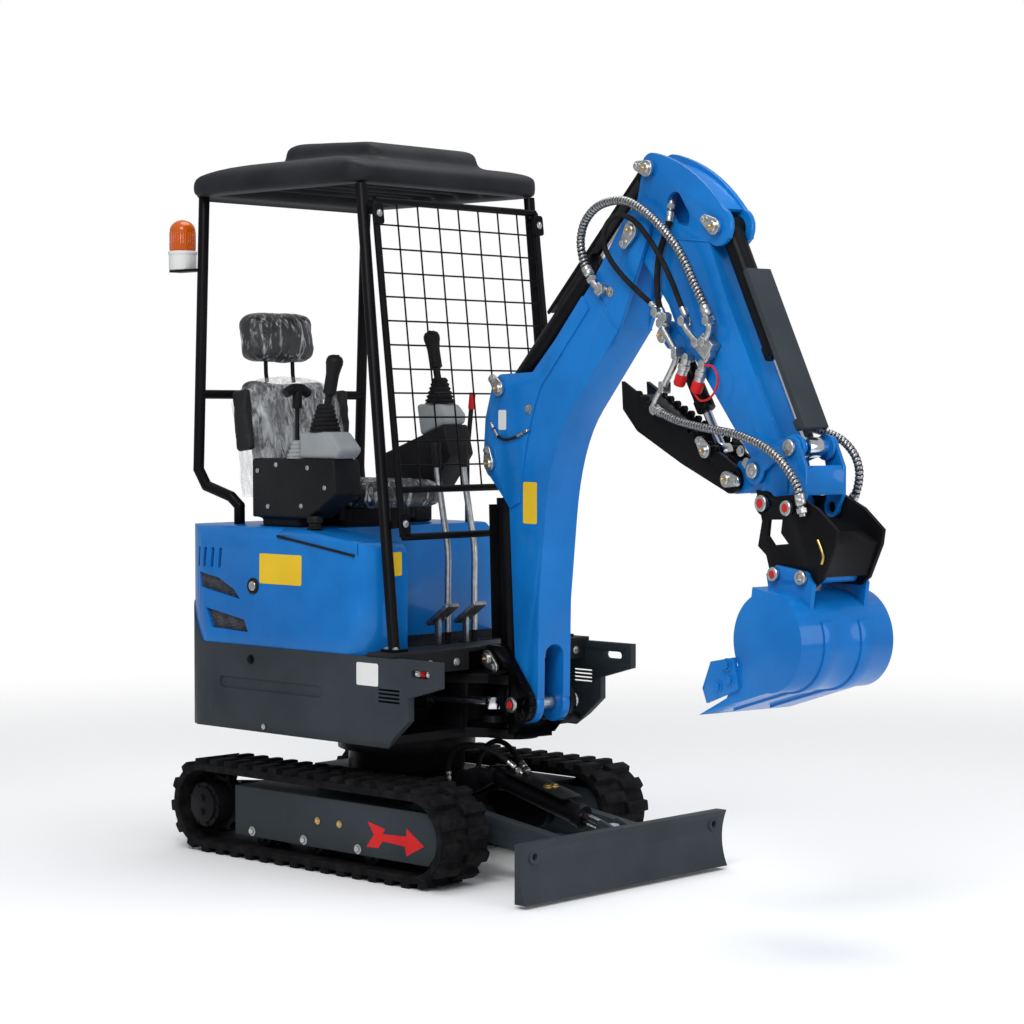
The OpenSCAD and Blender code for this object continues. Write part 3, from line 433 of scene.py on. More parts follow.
def sweep(form, path, radius, sides=12, pitch=0.0, depth=0.0):
    """A tube along a path.

    With a pitch it is wound as a spring guard is: the gaps between the turns lie lower by a depth and take
    the piece's second finish.
    """
    up = Vector((0, 0, 1)) if abs((path[1] - path[0]).normalized().z) < 0.9 else Vector((0, 1, 0))
    rings, runs = [], [0.0]
    for i, point in enumerate(path):
        ahead = (path[min(i + 1, len(path) - 1)] - path[max(i - 1, 0)]).normalized()
        up = (up - ahead * up.dot(ahead)).normalized()
        side = ahead.cross(up)
        ring = []
        for k in range(sides):
            a = 2 * math.pi * k / sides
            size = radius - depth if pitch and in_gap(runs[-1], pitch, k / sides) else radius
            ring.append(form.verts.new(point + (side * math.cos(a) + up * math.sin(a)) * size))
        rings.append(ring)
        if i + 1 < len(path):
            runs.append(runs[-1] + (path[i + 1] - point).length)
    skin(form, rings)
    form.faces.ensure_lookup_table()
    for i in range(len(path) - 1 if pitch else 0):
        for k in range(sides):
            form.faces[i * sides + k].material_index = int(in_gap(runs[i], pitch, (k + 0.5) / sides))


# Fasteners, gathered by body and finish until all are known
LOOSE = {}


def loose(body, finish):
    """The form that collects one body's small pieces of one finish."""
    return LOOSE.setdefault((body, finish), bmesh.new())


def bolt(body, place, axis, size=0.009, finish="zinc"):
    """A flanged hexagon bolt, size across half its flats."""
    form = loose(body, finish)
    seat = stand(place, axis)
    revolve(form, seat, [(size * 1.55, -0.002), (size * 1.55, 0.0022), (size * 1.35, 0.003)], 18)
    prism(form, seat, hexagon(size * 1.1), 0.0028, size * 0.95, size * 0.16)


def nipple(body, place, axis):
    """A grease nipple."""
    form = loose(body, "brass")
    seat = stand(place, axis)
    prism(form, seat, hexagon(0.0058), -0.002, 0.005, 0.0006)
    revolve(form, seat, [(0.0036, 0.004), (0.0036, 0.006), (0.0046, 0.007), (0.0046, 0.0085),
                         (0.003, 0.010)], 12)


def retainer(body, place, axis, toward, size=0.024):
    """A pin's end: its head, the flag plate that holds it, the plate's bolt and a grease nipple."""
    form = loose(body, "zinc")
    seat = stand(place, axis, toward)
    reach = size * 1.75
    prism(form, seat, pear(size, size * 0.62, reach), -0.002, 0.006, 0.0012)
    revolve(form, seat, [(size * 0.66, 0.005), (size * 0.66, 0.0105), (size * 0.56, 0.013)], 24)
    bolt(body, seat @ Vector((reach, 0, 0.006)), axis, size * 0.36)
    nipple(body, seat @ Vector((0, 0, 0.0125)), axis)


def pin_end(body, place, axis, size, plug):
    """A plain pin's end: a bright ring round a plug of some finish."""
    seat = stand(place, axis)
    ring = [(size, -0.002), (size, 0.006), (size * 0.9, 0.008), (size * 0.56, 0.008), (size * 0.52, 0.005)]
    revolve(loose(body, "zinc"), seat, ring, 32)
    revolve(loose(body, plug), seat, [(size * 0.5, 0.003), (size * 0.5, 0.0075), (size * 0.34, 0.009)], 24)


def make_fasteners():
    finishes = {"zinc": ZINC, "brass": BRASS, "red": RED, "black": BLACK, "blue": BLUE}
    for (body, finish), form in LOOSE.items():
        finished(f"fasteners_{body}_{finish}", form, finishes[finish], body)


# Hoses and their fittings
def ferrule(form, place, axis, radius):
    """The crimped sleeve and nut at a hose's end, axis pointing out of the hose."""
    seat = stand(place, axis)
    r = radius * 1.12
    revolve(form, seat, [(r, -0.034), (r * 1.04, -0.032), (r * 1.04, -0.022), (r * 0.98, -0.020),
                         (r * 1.04, -0.018), (r * 1.04, -0.008), (r * 0.9, -0.004), (r * 0.62, -0.002),
                         (r * 0.62, 0.006)], 20)
    prism(form, seat, hexagon(r * 1.12), 0.004, 0.018, 0.0015)
    revolve(form, seat, [(r * 0.7, 0.017), (r * 0.7, 0.026)], 16)


def hose(name, points, diameter, material, bodies, wound=0.0):
    """A hydraulic hose with a fitting at each end. Between two bodies it rides on neither, while each fitting
    rides on its own body.
    """
    radius = diameter / 2
    path = smooth_path(points, 0.0022 if wound else 0.007)
    form = bmesh.new()
    sweep(form, path, radius, 16, wound, radius * 0.14 if wound else 0.0)
    first, last = bodies[0], bodies[-1]
    piece = finished(name, form, material, first if first == last else None, 60)
    piece.data.materials.append(HOSE)
    if first != last:
        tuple(path[0])
        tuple(path[-1])
        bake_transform(piece)
    for tag, body, place, inner in (("a", first, path[0], path[1]), ("b", last, path[-1], path[-2])):
        metal = bmesh.new()
        ferrule(metal, place, place - inner, radius)
        finished(f"{name}_fitting_{tag}", metal, ZINC, body)
    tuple(path[0])
    path_length(path)


def on_arm(points, *side):
    """Points on the arm, each with its own offset to the left or all with the same."""
    return [arm(*point, *side) for point in points]


# Pitch of a spring guard's turns
SPRING = 0.012
hose("boom_hose", on_arm([
    (488, 1836, -80), (468, 1868, -84), (456, 1908, -88), (457, 1952, -92), (484, 2000, -96),
    (542, 2037, -98), (621, 2050, -98), (691, 2041, -98), (761, 2010, -98), (829, 1966, -98),
    (890, 1911, -94), (931, 1857, -90), (964, 1796, -84), (991, 1748, -78), (1014, 1702, -74)]),
     0.026, WRAP, ("boom", "dipper"), SPRING)
hose("dipper_hose_loop", on_arm([
    (784, 1730, -66), (702, 1788, -78), (628, 1850, -90), (581, 1912, -98), (584, 1972, -102),
    (636, 2006, -102), (708, 1990, -100), (771, 1934, -92), (819, 1874, -86), (858, 1812, -80),
    (887, 1751, -74), (914, 1703, -70)]), 0.016, HOSE, ("dipper",))
hose("dipper_hose_short", on_arm([
    (824, 2012, -54), (824, 1978, -60), (809, 1937, -64), (791, 1893, -66), (781, 1848, -66),
    (779, 1800, -66), (786, 1750, -66), (812, 1702, -66)]), 0.018, HOSE, ("dipper",))
hose("hitch_hose_right", on_arm([
    (776, 1443, -66), (820, 1430, -72), (895, 1411, -80), (988, 1397, -88), (1080, 1386, -92),
    (1169, 1374, -98), (1262, 1350, -104), (1332, 1319, -108), (1388, 1278, -112), (1424, 1232, -112),
    (1432, 1186, -108)]), 0.024, WRAP, ("dipper", "bucket"), SPRING)
hose("hitch_hose_left", on_arm([
    (1072, 1404, 68), (1120, 1402, 80), (1190, 1398, 96), (1276, 1386, 106), (1350, 1363, 112),
    (1400, 1324, 114), (1421, 1276, 114), (1414, 1226, 112), (1388, 1184, 112)]), 0.024, WRAP,
     ("dipper", "bucket"), SPRING)
for tag, shift in (("right", -17), ("left", 17)):
    hose(f"foot_hose_{tag}", on_arm([(86, 500), (99, 545), (111, 600), (123, 655), (134, 712)], shift),
         0.019, HOSE, ("swing_bracket", "boom"))
hose("boom_cable", on_arm([
    (-8, 1386, -73), (17, 1363, -75), (52, 1353, -76), (90, 1357, -76), (122, 1366, -75),
    (150, 1376, -73)]), 0.009, HOSE, ("boom",))
for tag, side, tip in (("right", -1, 503), ("left", 1, 522)):
    route = [(263, 66, 262), (262, 70, 312), (286, 72, 360), (335, 68, 386), (395, 54, 384), (452, 34, 362),
             (tip, 12, 322)]
    hose(f"blade_hose_{tag}", [at(x, side * y, z) for x, y, z in route], 0.017, HOSE,
         ("undercarriage", "blade_cylinder"))


# Seat: padded forms under clear film
def streak_node(tree, across, along, turn):
    """Uneven streaks, fine across and long along the seat's height, as creases in pulled film run."""
    place = node(tree, "Mapping", [(object_coords(tree), "Vector")], Rotation=turn,
                 Scale=(across, across, along))
    feeds = [(place.outputs[0], "Vector")]
    texture = node(tree, "TexNoise", feeds, Scale=1.0, Detail=5.0, Roughness=0.6, Distortion=1.1)
    return texture.outputs["Fac"]


def film_vinyl():
    """Black vinyl under clear film that clings to it: creases as streaks, painted pale along them as the
    film's highlights, and a sharp coat.
    """
    material, tree, shader = principled("film_vinyl", (0.02, 0.02, 0.021), 0.5, Coat_Weight=0.5,
                                        Coat_Roughness=0.12)
    streaks = streak_node(tree, 42, 11, (0.5, 0.5, 0.0))
    # The pale end of this tint is a painted highlight along the film's creases; the bumps below are their
    # real relief.
    tint(tree, shader, streaks, (0.012, 0.012, 0.013), (0.56, 0.57, 0.59), 0.53, 0.68)
    bump(tree, shader, streaks, 0.7, 0.010, "Coat Normal")
    bump(tree, shader, streaks, 0.5, 0.006)
    return material


def loose_film():
    """Clear film that stands off what it covers: nearly unseen but for its streaks, where its pale colour
    shows as painted highlights.
    """
    material, tree, shader = principled("clear_film", (0.80, 0.82, 0.84), 0.2)
    streaks = streak_node(tree, 34, 7, (0.25, -0.2, 0.0))
    # The film's pale colour shows only along the streaks, as painted highlights of its folds.
    see = node(tree, "MapRange", [(streaks, "Value")], From_Min=0.44, From_Max=0.70, To_Min=0.10, To_Max=0.62)
    tree.links.new(see.outputs[0], shader.inputs["Alpha"])
    bump(tree, shader, streaks, 0.6, 0.008)
    return material


CLEAR = loose_film()
FILM = film_vinyl()
SLOTS[CLEAR] = SLOTS[FILM] = "seat_vinyl"
PUFF_CAP = 0.014
PUFF_FRAMES = 20
VOXEL = 0.006


def block(name, place, size, round_by, material):
    """A soft-cornered block in a frame, ready to be filled."""
    form = bmesh.new()
    bmesh.ops.create_cube(form, size=1.0, matrix=place @ Matrix.Diagonal((*size, 1)))
    bmesh.ops.bevel(form, geom=form.edges[:], offset=round_by, segments=4, affect="EDGES", profile=0.5)
    return finished(name, form, material, None)


def modifier(piece, kind, **settings):
    """A new modifier on a piece, with its settings."""
    made = piece.modifiers.new(kind.lower(), kind)
    for setting, value in settings.items():
        setattr(made, setting, value)
    return made


def apply_modifier(piece, made):
    bpy.context.view_layer.objects.active = piece
    bpy.ops.object.modifier_apply(modifier=made.name)


def puff(piece):
    """Fills a pad: cloth under pressure, with how far a point may move capped."""
    apply_modifier(piece, modifier(piece, "REMESH", mode="VOXEL", voxel_size=VOXEL))
    before = [v.co.copy() for v in piece.data.vertices]
    cloth = modifier(piece, "CLOTH")
    cloth.settings.use_pressure = True
    cloth.settings.uniform_pressure_force = 4
    cloth.settings.effector_weights.gravity = 0
    cloth.settings.quality = 3
    for number in range(1, PUFF_FRAMES + 1):
        bpy.context.scene.frame_set(number)
    apply_modifier(piece, cloth)
    bpy.context.scene.frame_set(1)
    for vertex, start in zip(piece.data.vertices, before):
        move = vertex.co - start
        if move.length > PUFF_CAP:
            vertex.co = start + move.normalized() * PUFF_CAP


def sew(piece, place, size, channels, depth=0.007, width=0.010):
    """Presses sewn channels across a pad's face and an edge seam round its side."""
    down = place.inverted()
    for vertex in piece.data.vertices:
        spot = down @ vertex.co
        press = sum(depth * math.exp(-((spot.x - c * size[0]) / width) ** 2) for c in channels)
        if spot.z > 0:
            spot.z -= press * min(1.0, spot.z / (size[2] * 0.3))
        rim = math.exp(-((spot.z - size[2] * 0.16) / 0.006) ** 2)
        spot.x *= 1 - 0.008 * rim
        spot.y *= 1 - 0.014 * rim
        vertex.co = place @ spot


def fold(spot, scale):
    """How far folds of film stand out at a spot, from -1 to 1."""
    return max(-1.0, min(1.0, noise.ridged_multi_fractal(spot * scale, 0.9, 2.1, 4, 0.9, 2.0) - 1.1))


def wrinkle(piece, scale, depth):
    """Loose folds of the film over the pad."""
    for vertex in piece.data.vertices:
        vertex.co += vertex.normal * fold(vertex.co, scale) * depth


def pad(name, place, size, round_by, channels, nodes, material):
    """A filled and sewn pad of the seat, in place of its CAD nodes."""
    piece = block(name, place, size, round_by, material)
    puff(piece)
    sew(piece, place, size, channels)
    if material is FILM:
        wrinkle(piece, 9, 0.0035)
    piece.data.polygons.foreach_set("use_smooth", [True] * len(piece.data.polygons))
    apply_modifier(piece, modifier(piece, "SUBSURF", levels=1, render_levels=1))
    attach(piece, "house")
    if nodes:
        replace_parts(piece, *nodes)


SEAT_Y = -60
back_up = Vector((-0.075, 0, 0.335)).normalized()
seat_frame = stand(at(-212, SEAT_Y, 1175))
back_frame = stand(at(-508, SEAT_Y, 1392), (0.335, 0, 0.075), back_up)
head_frame = stand(at(-566, SEAT_Y, 1690), (0.335, 0, 0.05), back_up)
pad("seat_pad", seat_frame, (0.585, 0.352, 0.066), 0.026, (0.32, 0.0), ["seat_cushion"], FILM)
pad("back_pad", back_frame, (0.318, 0.352, 0.072), 0.028, (0.3, 0.02, -0.26), ["seat_back"], FILM)
pad("head_pad", head_frame, (0.168, 0.290, 0.096), 0.042, (), [], FILM)
for tag, side, nodes in (("right", -1, ["armrests"]), ("left", 1, [])):
    arm_frame = stand(at(-487, SEAT_Y + side * 217, 1412), (0, side, 0), (-0.12, 0, 1))
    pad(f"armrest_{tag}", arm_frame, (0.205, 0.078, 0.026), 0.012, (), nodes, VINYL)


def film_bag(name, place, size, rings=40, sides=84):
    """A film bag pulled over a pad from above, open below, standing off in loose folds."""
    height, width, deep = size
    form = bmesh.new()
    loops = []
    for i in range(rings):
        u = i / (rings - 1)
        close = math.sqrt(max(0.0, 1 - max(0.0, (u - 0.72) / 0.28) ** 2.6)) * 0.94 + 0.06
        loop = []
        for k in range(sides):
            a = 2 * math.pi * k / sides
            y = math.copysign(abs(math.cos(a)) ** 0.5, math.cos(a)) * width / 2
            z = math.copysign(abs(math.sin(a)) ** 0.6, math.sin(a)) * deep / 2
            spot = Vector(((u - 0.5) * height, y * (close + 0.06 * (1 - u)), z * close))
            spot += Vector((0, y, z)).normalized() * fold(place @ spot, 8) * 0.008
            loop.append(form.verts.new(place @ spot))
        loops.append(loop)
    skin(form, loops, True)
    piece = finished(name, form, CLEAR, "house", 180)


film_bag("back_film", back_frame @ Matrix.Translation((-0.03, 0, 0.004)), (0.40, 0.43, 0.135))


def seat_base():
    """Pedestal under the seat with its runners, and the headrest's two stalks."""
    form = bmesh.new()
    low = stand(at(-270, SEAT_Y, 1070.5))
    prism(form, low, rounded(0.42, 0.30, 0.03), 0.0, 0.06, 0.004)
    for y in (-0.155, 0.155):
        prism(form, low @ Matrix.Translation((0, y, 0)), rounded(0.40, 0.03, 0.006), 0.02, 0.066, 0.003)
    for y in (SEAT_Y - 60, SEAT_Y + 60):
        sweep(form, [at(-548, y, 1540), at(-553, y, 1570), at(-555, y, 1625)], 0.007, 12)
    finished("seat_base", form, BLACK)


seat_base()


# Controls
def boot(name, place, radius, top, high, ribs, material):
    """A ribbed rubber boot that narrows upwards."""
    profile = [(radius * 1.12, 0.0), (radius * 1.12, 0.004)]
    step = high / ribs
    for i in range(ribs):
        r = radius + (top - radius) * i / ribs
        profile += [(r * wide, 0.005 + step * (i + share))
                    for wide, share in ((1, 0), (1.1, 0.35), (1.1, 0.6), (0.94, 0.95))]
    profile.append((top * 0.9, 0.008 + high))
    form = bmesh.new()
    revolve(form, place, profile, 36)
    finished(name, form, material, "house", 50, "black_plastic")


def grip(form, place):
    """A joystick's smooth grip, swelling to an oval head with two buttons."""
    profile = [(0.0212, 0.084), (0.0206, 0.110), (0.0212, 0.145), (0.0245, 0.166), (0.0275, 0.180),
               (0.0272, 0.192), (0.0225, 0.202), (0.0120, 0.2075)]
    revolve(form, place, profile, 32)
    button = [(0.005, 0), (0.005, 0.0035), (0.004, 0.0045)]
    for y in (-0.008, 0.008):
        revolve(form, place @ Matrix.Translation((0.002, y, 0.205)), button, 14)


def tube(name, points, step, radius, material, body, sides=12, smooth=38):
    """A round bar along a smooth curve, as a piece of its own."""
    form = bmesh.new()
    sweep(form, smooth_path(points, step), radius, sides)
    finished(name, form, material, body, smooth)


def make_controls():
    for side, foot, tilt in (("right", (-40, -320, 1376.5), 14), ("left", (-85, 240, 1466.5), -12)):
        boot(f"stick_boot_{side}", stand(at(*foot)), 0.045, 0.021, 0.080, 6, HOSE)
        lean = Matrix.Rotation(math.radians(tilt), 4, "Y")
        form = bmesh.new()
        grip(form, Matrix.Translation(at(*foot) + Vector((0, 0, 0.040))) @ lean)
        finished(f"stick_grip_{side}", form, PLASTIC, "house", 50)
    boot("side_lever_boot", stand(at(-150, -340, 1290.5)), 0.030, 0.012, 0.05, 4, GREY)
    tee = [at(-152, -388, 1498), at(-150, -362, 1512), at(-150, -340, 1514), at(-150, -318, 1512),
           at(-152, -292, 1498)]
    tube("side_lever_handle", tee, 0.005, 0.0155, PLASTIC, "house", 16)
    red = [at(-41, 345, 1450), at(-38, 345, 1475), at(-34.5, 345, 1504)]
    tube("safety_lever_grip", red, 0.005, 0.0108, RED, "house", 16)
    bright, grips = bmesh.new(), bmesh.new()
    for y in (-60, 60):
        sweep(bright, smooth_path([at(250, y, 740), at(250, y, 880), at(250, y, 1000), at(228, y, 1120),
                                   at(205, y, 1240), at(201, y, 1300)], 0.012), 0.0104, 16)
        revolve(grips, stand(at(202, y, 1262), (-0.05, 0, 1)), [(0.012, 0), (0.0155, 0.004), (0.0145, 0.02),
                (0.016, 0.04), (0.0145, 0.06), (0.016, 0.074), (0.012, 0.080)], 20)
    finished("travel_lever_rods", bright, ALUMINIUM, "house", 60)
    finished("travel_lever_grips", grips, PLASTIC, "house", 50)
    ribs = bmesh.new()
    for y in (-110, 15):
        foot = Matrix.Translation(at(235, y, 763.2)) @ Matrix.Rotation(math.radians(-35), 4, "Y")
        for i in range(9):
            rib = foot @ Matrix.Translation((0.012 + i * 0.0108, 0, 0.012))
            prism(ribs, rib, rounded(0.0045, 0.048, 0.002, 3), -0.0005, 0.0022, 0.0006)
        middle = foot @ Matrix.Translation((0.055, 0, 0.011))
        prism(ribs, middle, rounded(0.112, 0.058, 0.006), 0.0, 0.0012, 0.0004)
    finished("pedal_treads", ribs, ALUMINIUM)


make_controls()


def make_floor_mat():
    """Ribbed rubber mat between pedals and seat."""
    form = bmesh.new()
    seat = stand(at(120, 90, 703.4))
    prism(form, seat, rounded(0.26, 0.62, 0.02), 0.0, 0.004, 0.001)
    for i in range(23):
        rib = seat @ Matrix.Translation((0, -0.286 + i * 0.026, 0.004))
        prism(form, rib, rounded(0.235, 0.011, 0.004, 3), -0.001, 0.0025, 0.0008)
    finished("floor_mat", form, HOSE)


make_floor_mat()


# House: plates, lock, knob, rubber lip, bolts, mesh behind the vents, connectors
RIGHT = Vector((0, -1, 0))
WALL_FOOT = 630
WALL_HIGH = 392
WALL_IN = 6
WALL_LEAN = math.atan2(WALL_IN, WALL_HIGH)


def wall(x, z, proud=0.0):
    """A point on the leaning right wall of the engine cover."""
    return at(x, -447 + WALL_IN * (z - WALL_FOOT) / WALL_HIGH - proud, z)


WALL_OUT = Vector((0, -math.cos(WALL_LEAN), math.sin(WALL_LEAN)))


def plate(name, place, axis, width, height, material, body="house"):
    """A blank upright plate with round corners."""
    form = bmesh.new()
    prism(form, stand(place, axis), rounded(height, width, 0.006), -0.0006, 0.0012, 0.0004)
    finished(name, form, material, body)


def make_house_trim():
    plate("side_plate", wall(-118, 940), WALL_OUT, 0.200, 0.096, YELLOW)
    plate("tail_plate", at(290, -450, 636), RIGHT, 0.096, 0.070, WHITE)
    plate("inner_plate", at(282, -332, 968), (1, 0, 0), 0.074, 0.074, YELLOW)
    ring = bmesh.new()
    seat = stand(wall(-248, 882), WALL_OUT)
    revolve(ring, seat, [(0.026, -0.002), (0.026, 0.004), (0.023, 0.007), (0.017, 0.007), (0.016, 0.003)], 32)
    finished("lock_ring", ring, PLASTIC)
    barrel = bmesh.new()
    revolve(barrel, seat, [(0.0158, 0.002), (0.0158, 0.006), (0.0145, 0.0072)], 28)
    prism(barrel, seat, rounded(0.012, 0.003, 0.0012, 3), 0.007, 0.0086, 0.0003)
    finished("lock_barrel", barrel, ZINC)
    knob = bmesh.new()
    top = stand(at(-32, -372, 1069.5))
    revolve(knob, top, [(0.026, 0), (0.026, 0.006), (0.019, 0.009), (0.019, 0.016), (0.0235, 0.019),
                        (0.0235, 0.034), (0.020, 0.039), (0.008, 0.041)], 32)
    for i in range(12):
        turn = top @ Matrix.Rotation(i * math.pi / 6, 4, "Z") @ Matrix.Translation((0.0232, 0, 0))
        prism(knob, turn, rounded(0.004, 0.005, 0.0015, 3), 0.020, 0.033, 0.0006)
    finished("hood_knob", knob, PLASTIC)
    low = [wall(-134, 1045.5, 0.4), wall(50, 1020, 0.4), wall(222, 996, 0.4)]
    tube("lid_lip", low, 0.02, 0.0042, HOSE, "house", 12, 60)
    bolt("house", at(-253, -450, 646), RIGHT, 0.010, "black")
    bolt("house", at(-197, -446, 434), RIGHT, 0.006)
    for y in (-380, -290, -175, 175, 290, 380):
        bolt("house", at(402, y, 662), (1, 0, 0), 0.0085)
    for x, z in ((-300, 1250), (-210, 1270), (-60, 1262), (-250, 1135), (-90, 1140), (20, 1200)):
        bolt("house", at(x, -378, z), RIGHT, 0.005)


make_house_trim()

MESH_GAP = 9
MESH_WIRE = 0.0015


def clipped_mesh(name, outline):
    """Fine diagonal mesh that fills an outline in x and z, just behind the cover's wall."""
    form = bmesh.new()
    xs, zs = zip(*outline)
    wide = max(xs) - min(xs)
    count = int((wide + max(zs) - min(zs)) / MESH_GAP)
    for slope in (1, -1):
        base = min(zs) if slope < 0 else min(zs) - wide
        for i in range(count + 1):
            cut = base + i * MESH_GAP
            marks = []
            for (x0, z0), (x1, z1) in zip(outline, outline[1:] + outline[:1]):
                f0, f1 = z0 - slope * (x0 - min(xs)) - cut, z1 - slope * (x1 - min(xs)) - cut
                if (f0 < 0) != (f1 < 0):
                    t = f0 / (f0 - f1)
                    marks.append((x0 + (x1 - x0) * t, z0 + (z1 - z0) * t))
            marks.sort()
            for a, b in zip(marks[::2], marks[1::2]):
                if math.dist(a, b) > 4:
                    ends = [wall(x, z, -13.2 + 0.8 * slope) for x, z in (a, b)]
                    sweep(form, ends, MESH_WIRE, 4)
    finished(name, form, IRON, "house")


clipped_mesh("upper_vent_mesh", [(-524, 918), (-514, 868), (-312, 836), (-345, 868), (-420, 902)])
clipped_mesh("lower_vent_mesh", [(-482, 802), (-452, 738), (-272, 732), (-292, 772)])


def make_connectors():
    """Connectors behind the slot in the skirt."""
    white, red, backing = bmesh.new(), bmesh.new(), bmesh.new()
    for i, form in enumerate((white, red, white)):
        seat = stand(at(494 + i * 24, -432, 650), RIGHT)
        prism(form, seat, rounded(0.018, 0.018, 0.003), -0.012, 0.004, 0.001)
        prism(form, seat, rounded(0.008, 0.012, 0.002, 3), 0.004, 0.008, 0.0008)
    prism(backing, stand(at(521, -424, 650), RIGHT), rounded(0.05, 0.10, 0.006), -0.004, 0.001, 0.001)
    finished("wiring_backing", backing, BLACK)
    finished("connectors_white", white, WHITE)
    finished("connectors_red", red, RED)


make_connectors()


# Tracks: arrows and bolts
SPROCKET = Vector((-490.5, 153.5))
FRAME_FACE = 440


def make_track_trim():
    arrow = [(281, 181), (358, 165), (346, 149), (451, 153), (451, 178), (526, 131), (451, 93), (445, 122),
             (346, 127), (328, 104), (275, 102), (308, 143)]
    middle = Vector((400, 140))
    flat = [Vector((p[1] - middle.y, p[0] - middle.x)) / 1000 for p in arrow]
    for tag, side, outline in (("right", -1, flat), ("left", 1, flat[::-1])):
        axis = Vector((0, side, 0))
        face = at(middle.x, side * FRAME_FACE, middle.y)
        seat = Matrix(((0, 1, 0, face.x), (0, 0, side, face.y), (1, 0, 0, face.z), (0, 0, 0, 1)))
        form = bmesh.new()
        prism(form, seat, outline, -0.0005, 0.001)
        finished(f"track_arrow_{tag}", form, RED, "undercarriage")
        for x in (52, 152):
            bolt("undercarriage", at(x, side * FRAME_FACE, 158), axis, 0.0075, "brass")
        for x in (-260, -13, 236):
            bolt("undercarriage", at(x, side * FRAME_FACE, 90), axis, 0.010)
        for x, z in arc(SPROCKET, 65, 0, 320, 9):
            bolt("undercarriage", at(x, side * 447, z), axis, 0.0055, "black")
        for z in (175, 130):
            bolt("undercarriage", at(SPROCKET.x, side * 457, z), axis, 0.009, "black")


make_track_trim()


# Arm: pin ends, bolts, plates, welds, pipes, couplers and the bucket's trim
NEAR = -LATERAL


def arm_dir(dr, dz):
    """A direction in the plane of the arm."""
    return arm(dr * 1000, dz * 1000) - arm(0, 0)


def both_sides(half):
    return ((NEAR, -half), (LATERAL, half))


def make_arm_trim():
    flagged = [
        ("boom", (22, 1511), 76, (-0.5, 0.5), 0.024),
        ("boom", (-27, 1278), 76, (-0.2, 1), 0.024),
        ("boom", (673, 1963), 76, (-0.4, -0.5), 0.027),
        ("swing_bracket", (-5, 671), 98, (0.8, -0.5), 0.026),
        ("dipper", (726, 2137), 60, (-0.8, 0.2), 0.024),
        ("dipper", (1020, 1954), 60, (-0.7, 0.4), 0.024),
        ("dipper", (786, 1657), 50, (0.4, 0.9), 0.022),
        ("dipper", (1084, 1251), 66, (0.9, -0.1), 0.023),
        ("thumb", (992, 1329), 66, (-0.6, 0.7), 0.021)]
    for body, (r, z), half, toward, size in flagged:
        for axis, side in both_sides(half):
            retainer(body, arm(r, z, side), axis, arm_dir(*toward), size)
    plain = [
        ("swing_bracket", (145, 541), 117, 0.024, "red"),
        ("dipper", (1262, 1190), 96, 0.023, "red"),
        ("bucket", (1366, 1180), 100, 0.021, "red"),
        ("bucket", (1327, 1001), 110, 0.020, "red"),
        ("bucket", (1435, 997), 110, 0.020, "zinc"),
        ("dipper", (1190, 1277), 64, 0.022, "zinc"),
        ("rocker", (1352, 1342), 78, 0.022, "zinc")]
    for body, (r, z), half, size, plug in plain:
        for axis, side in both_sides(half):
            pin_end(body, arm(r, z, side), axis, size, plug)
    sleeve = bmesh.new()
    revolve(sleeve, stand(arm(145, 541, -34), LATERAL), [(0.0216, 0), (0.0216, 0.068)], 32)
    finished("foot_pin_sleeve", sleeve, ZINC, "swing_bracket")
    bolts = [("boom", (168, 1447), 68), ("boom", (560, 1790), 62), ("dipper", (1143, 1296), 46),
             ("dipper", (1120, 1330), 46), ("dipper", (700, 1925), 46), ("dipper", (880, 1720), 46)]
    for body, (r, z), half in bolts:
        for axis, side in both_sides(half):
            bolt(body, arm(r, z, side), axis, 0.010)
    along, raised = Vector((0.9698, 0, -0.2439)), Vector((0.2439, 0, 0.9698))
    for y in (-16, 16):
        bolt("blade_cylinder", at(400, y, 292) + along * 0.235 + raised * 0.044, raised, 0.0095, "brass")
    plate("boom_plate_white", arm(30, 1414, -68), NEAR, 0.040, 0.062, WHITE, "boom")
    plate("boom_plate_yellow", arm(166, 1160, -62), NEAR, 0.070, 0.128, YELLOW, "boom")


make_arm_trim()


def bead(name, points, radius, body):
    """A weld bead under the paint: a thin roll with the ripples of its passes."""
    form = bmesh.new()
    sweep(form, smooth_path(points, 0.0025), radius, 8, 0.006, radius * 0.3)
    finished(name, form, BLUE, body, 60)


def make_welds():
    fork = [(476, 1822), (520, 1764), (560, 1712), (598, 1680)]
    head = [(734, 1878), (775, 1908), (820, 1930), (900, 1923), (981, 1915)]
    for tag, side in (("right", -1), ("left", 1)):
        bead(f"fork_weld_{tag}", on_arm(fork, side * 62), 0.0038, "boom")
        bead(f"head_weld_{tag}", on_arm(head, side * 46), 0.0036, "dipper")


make_welds()


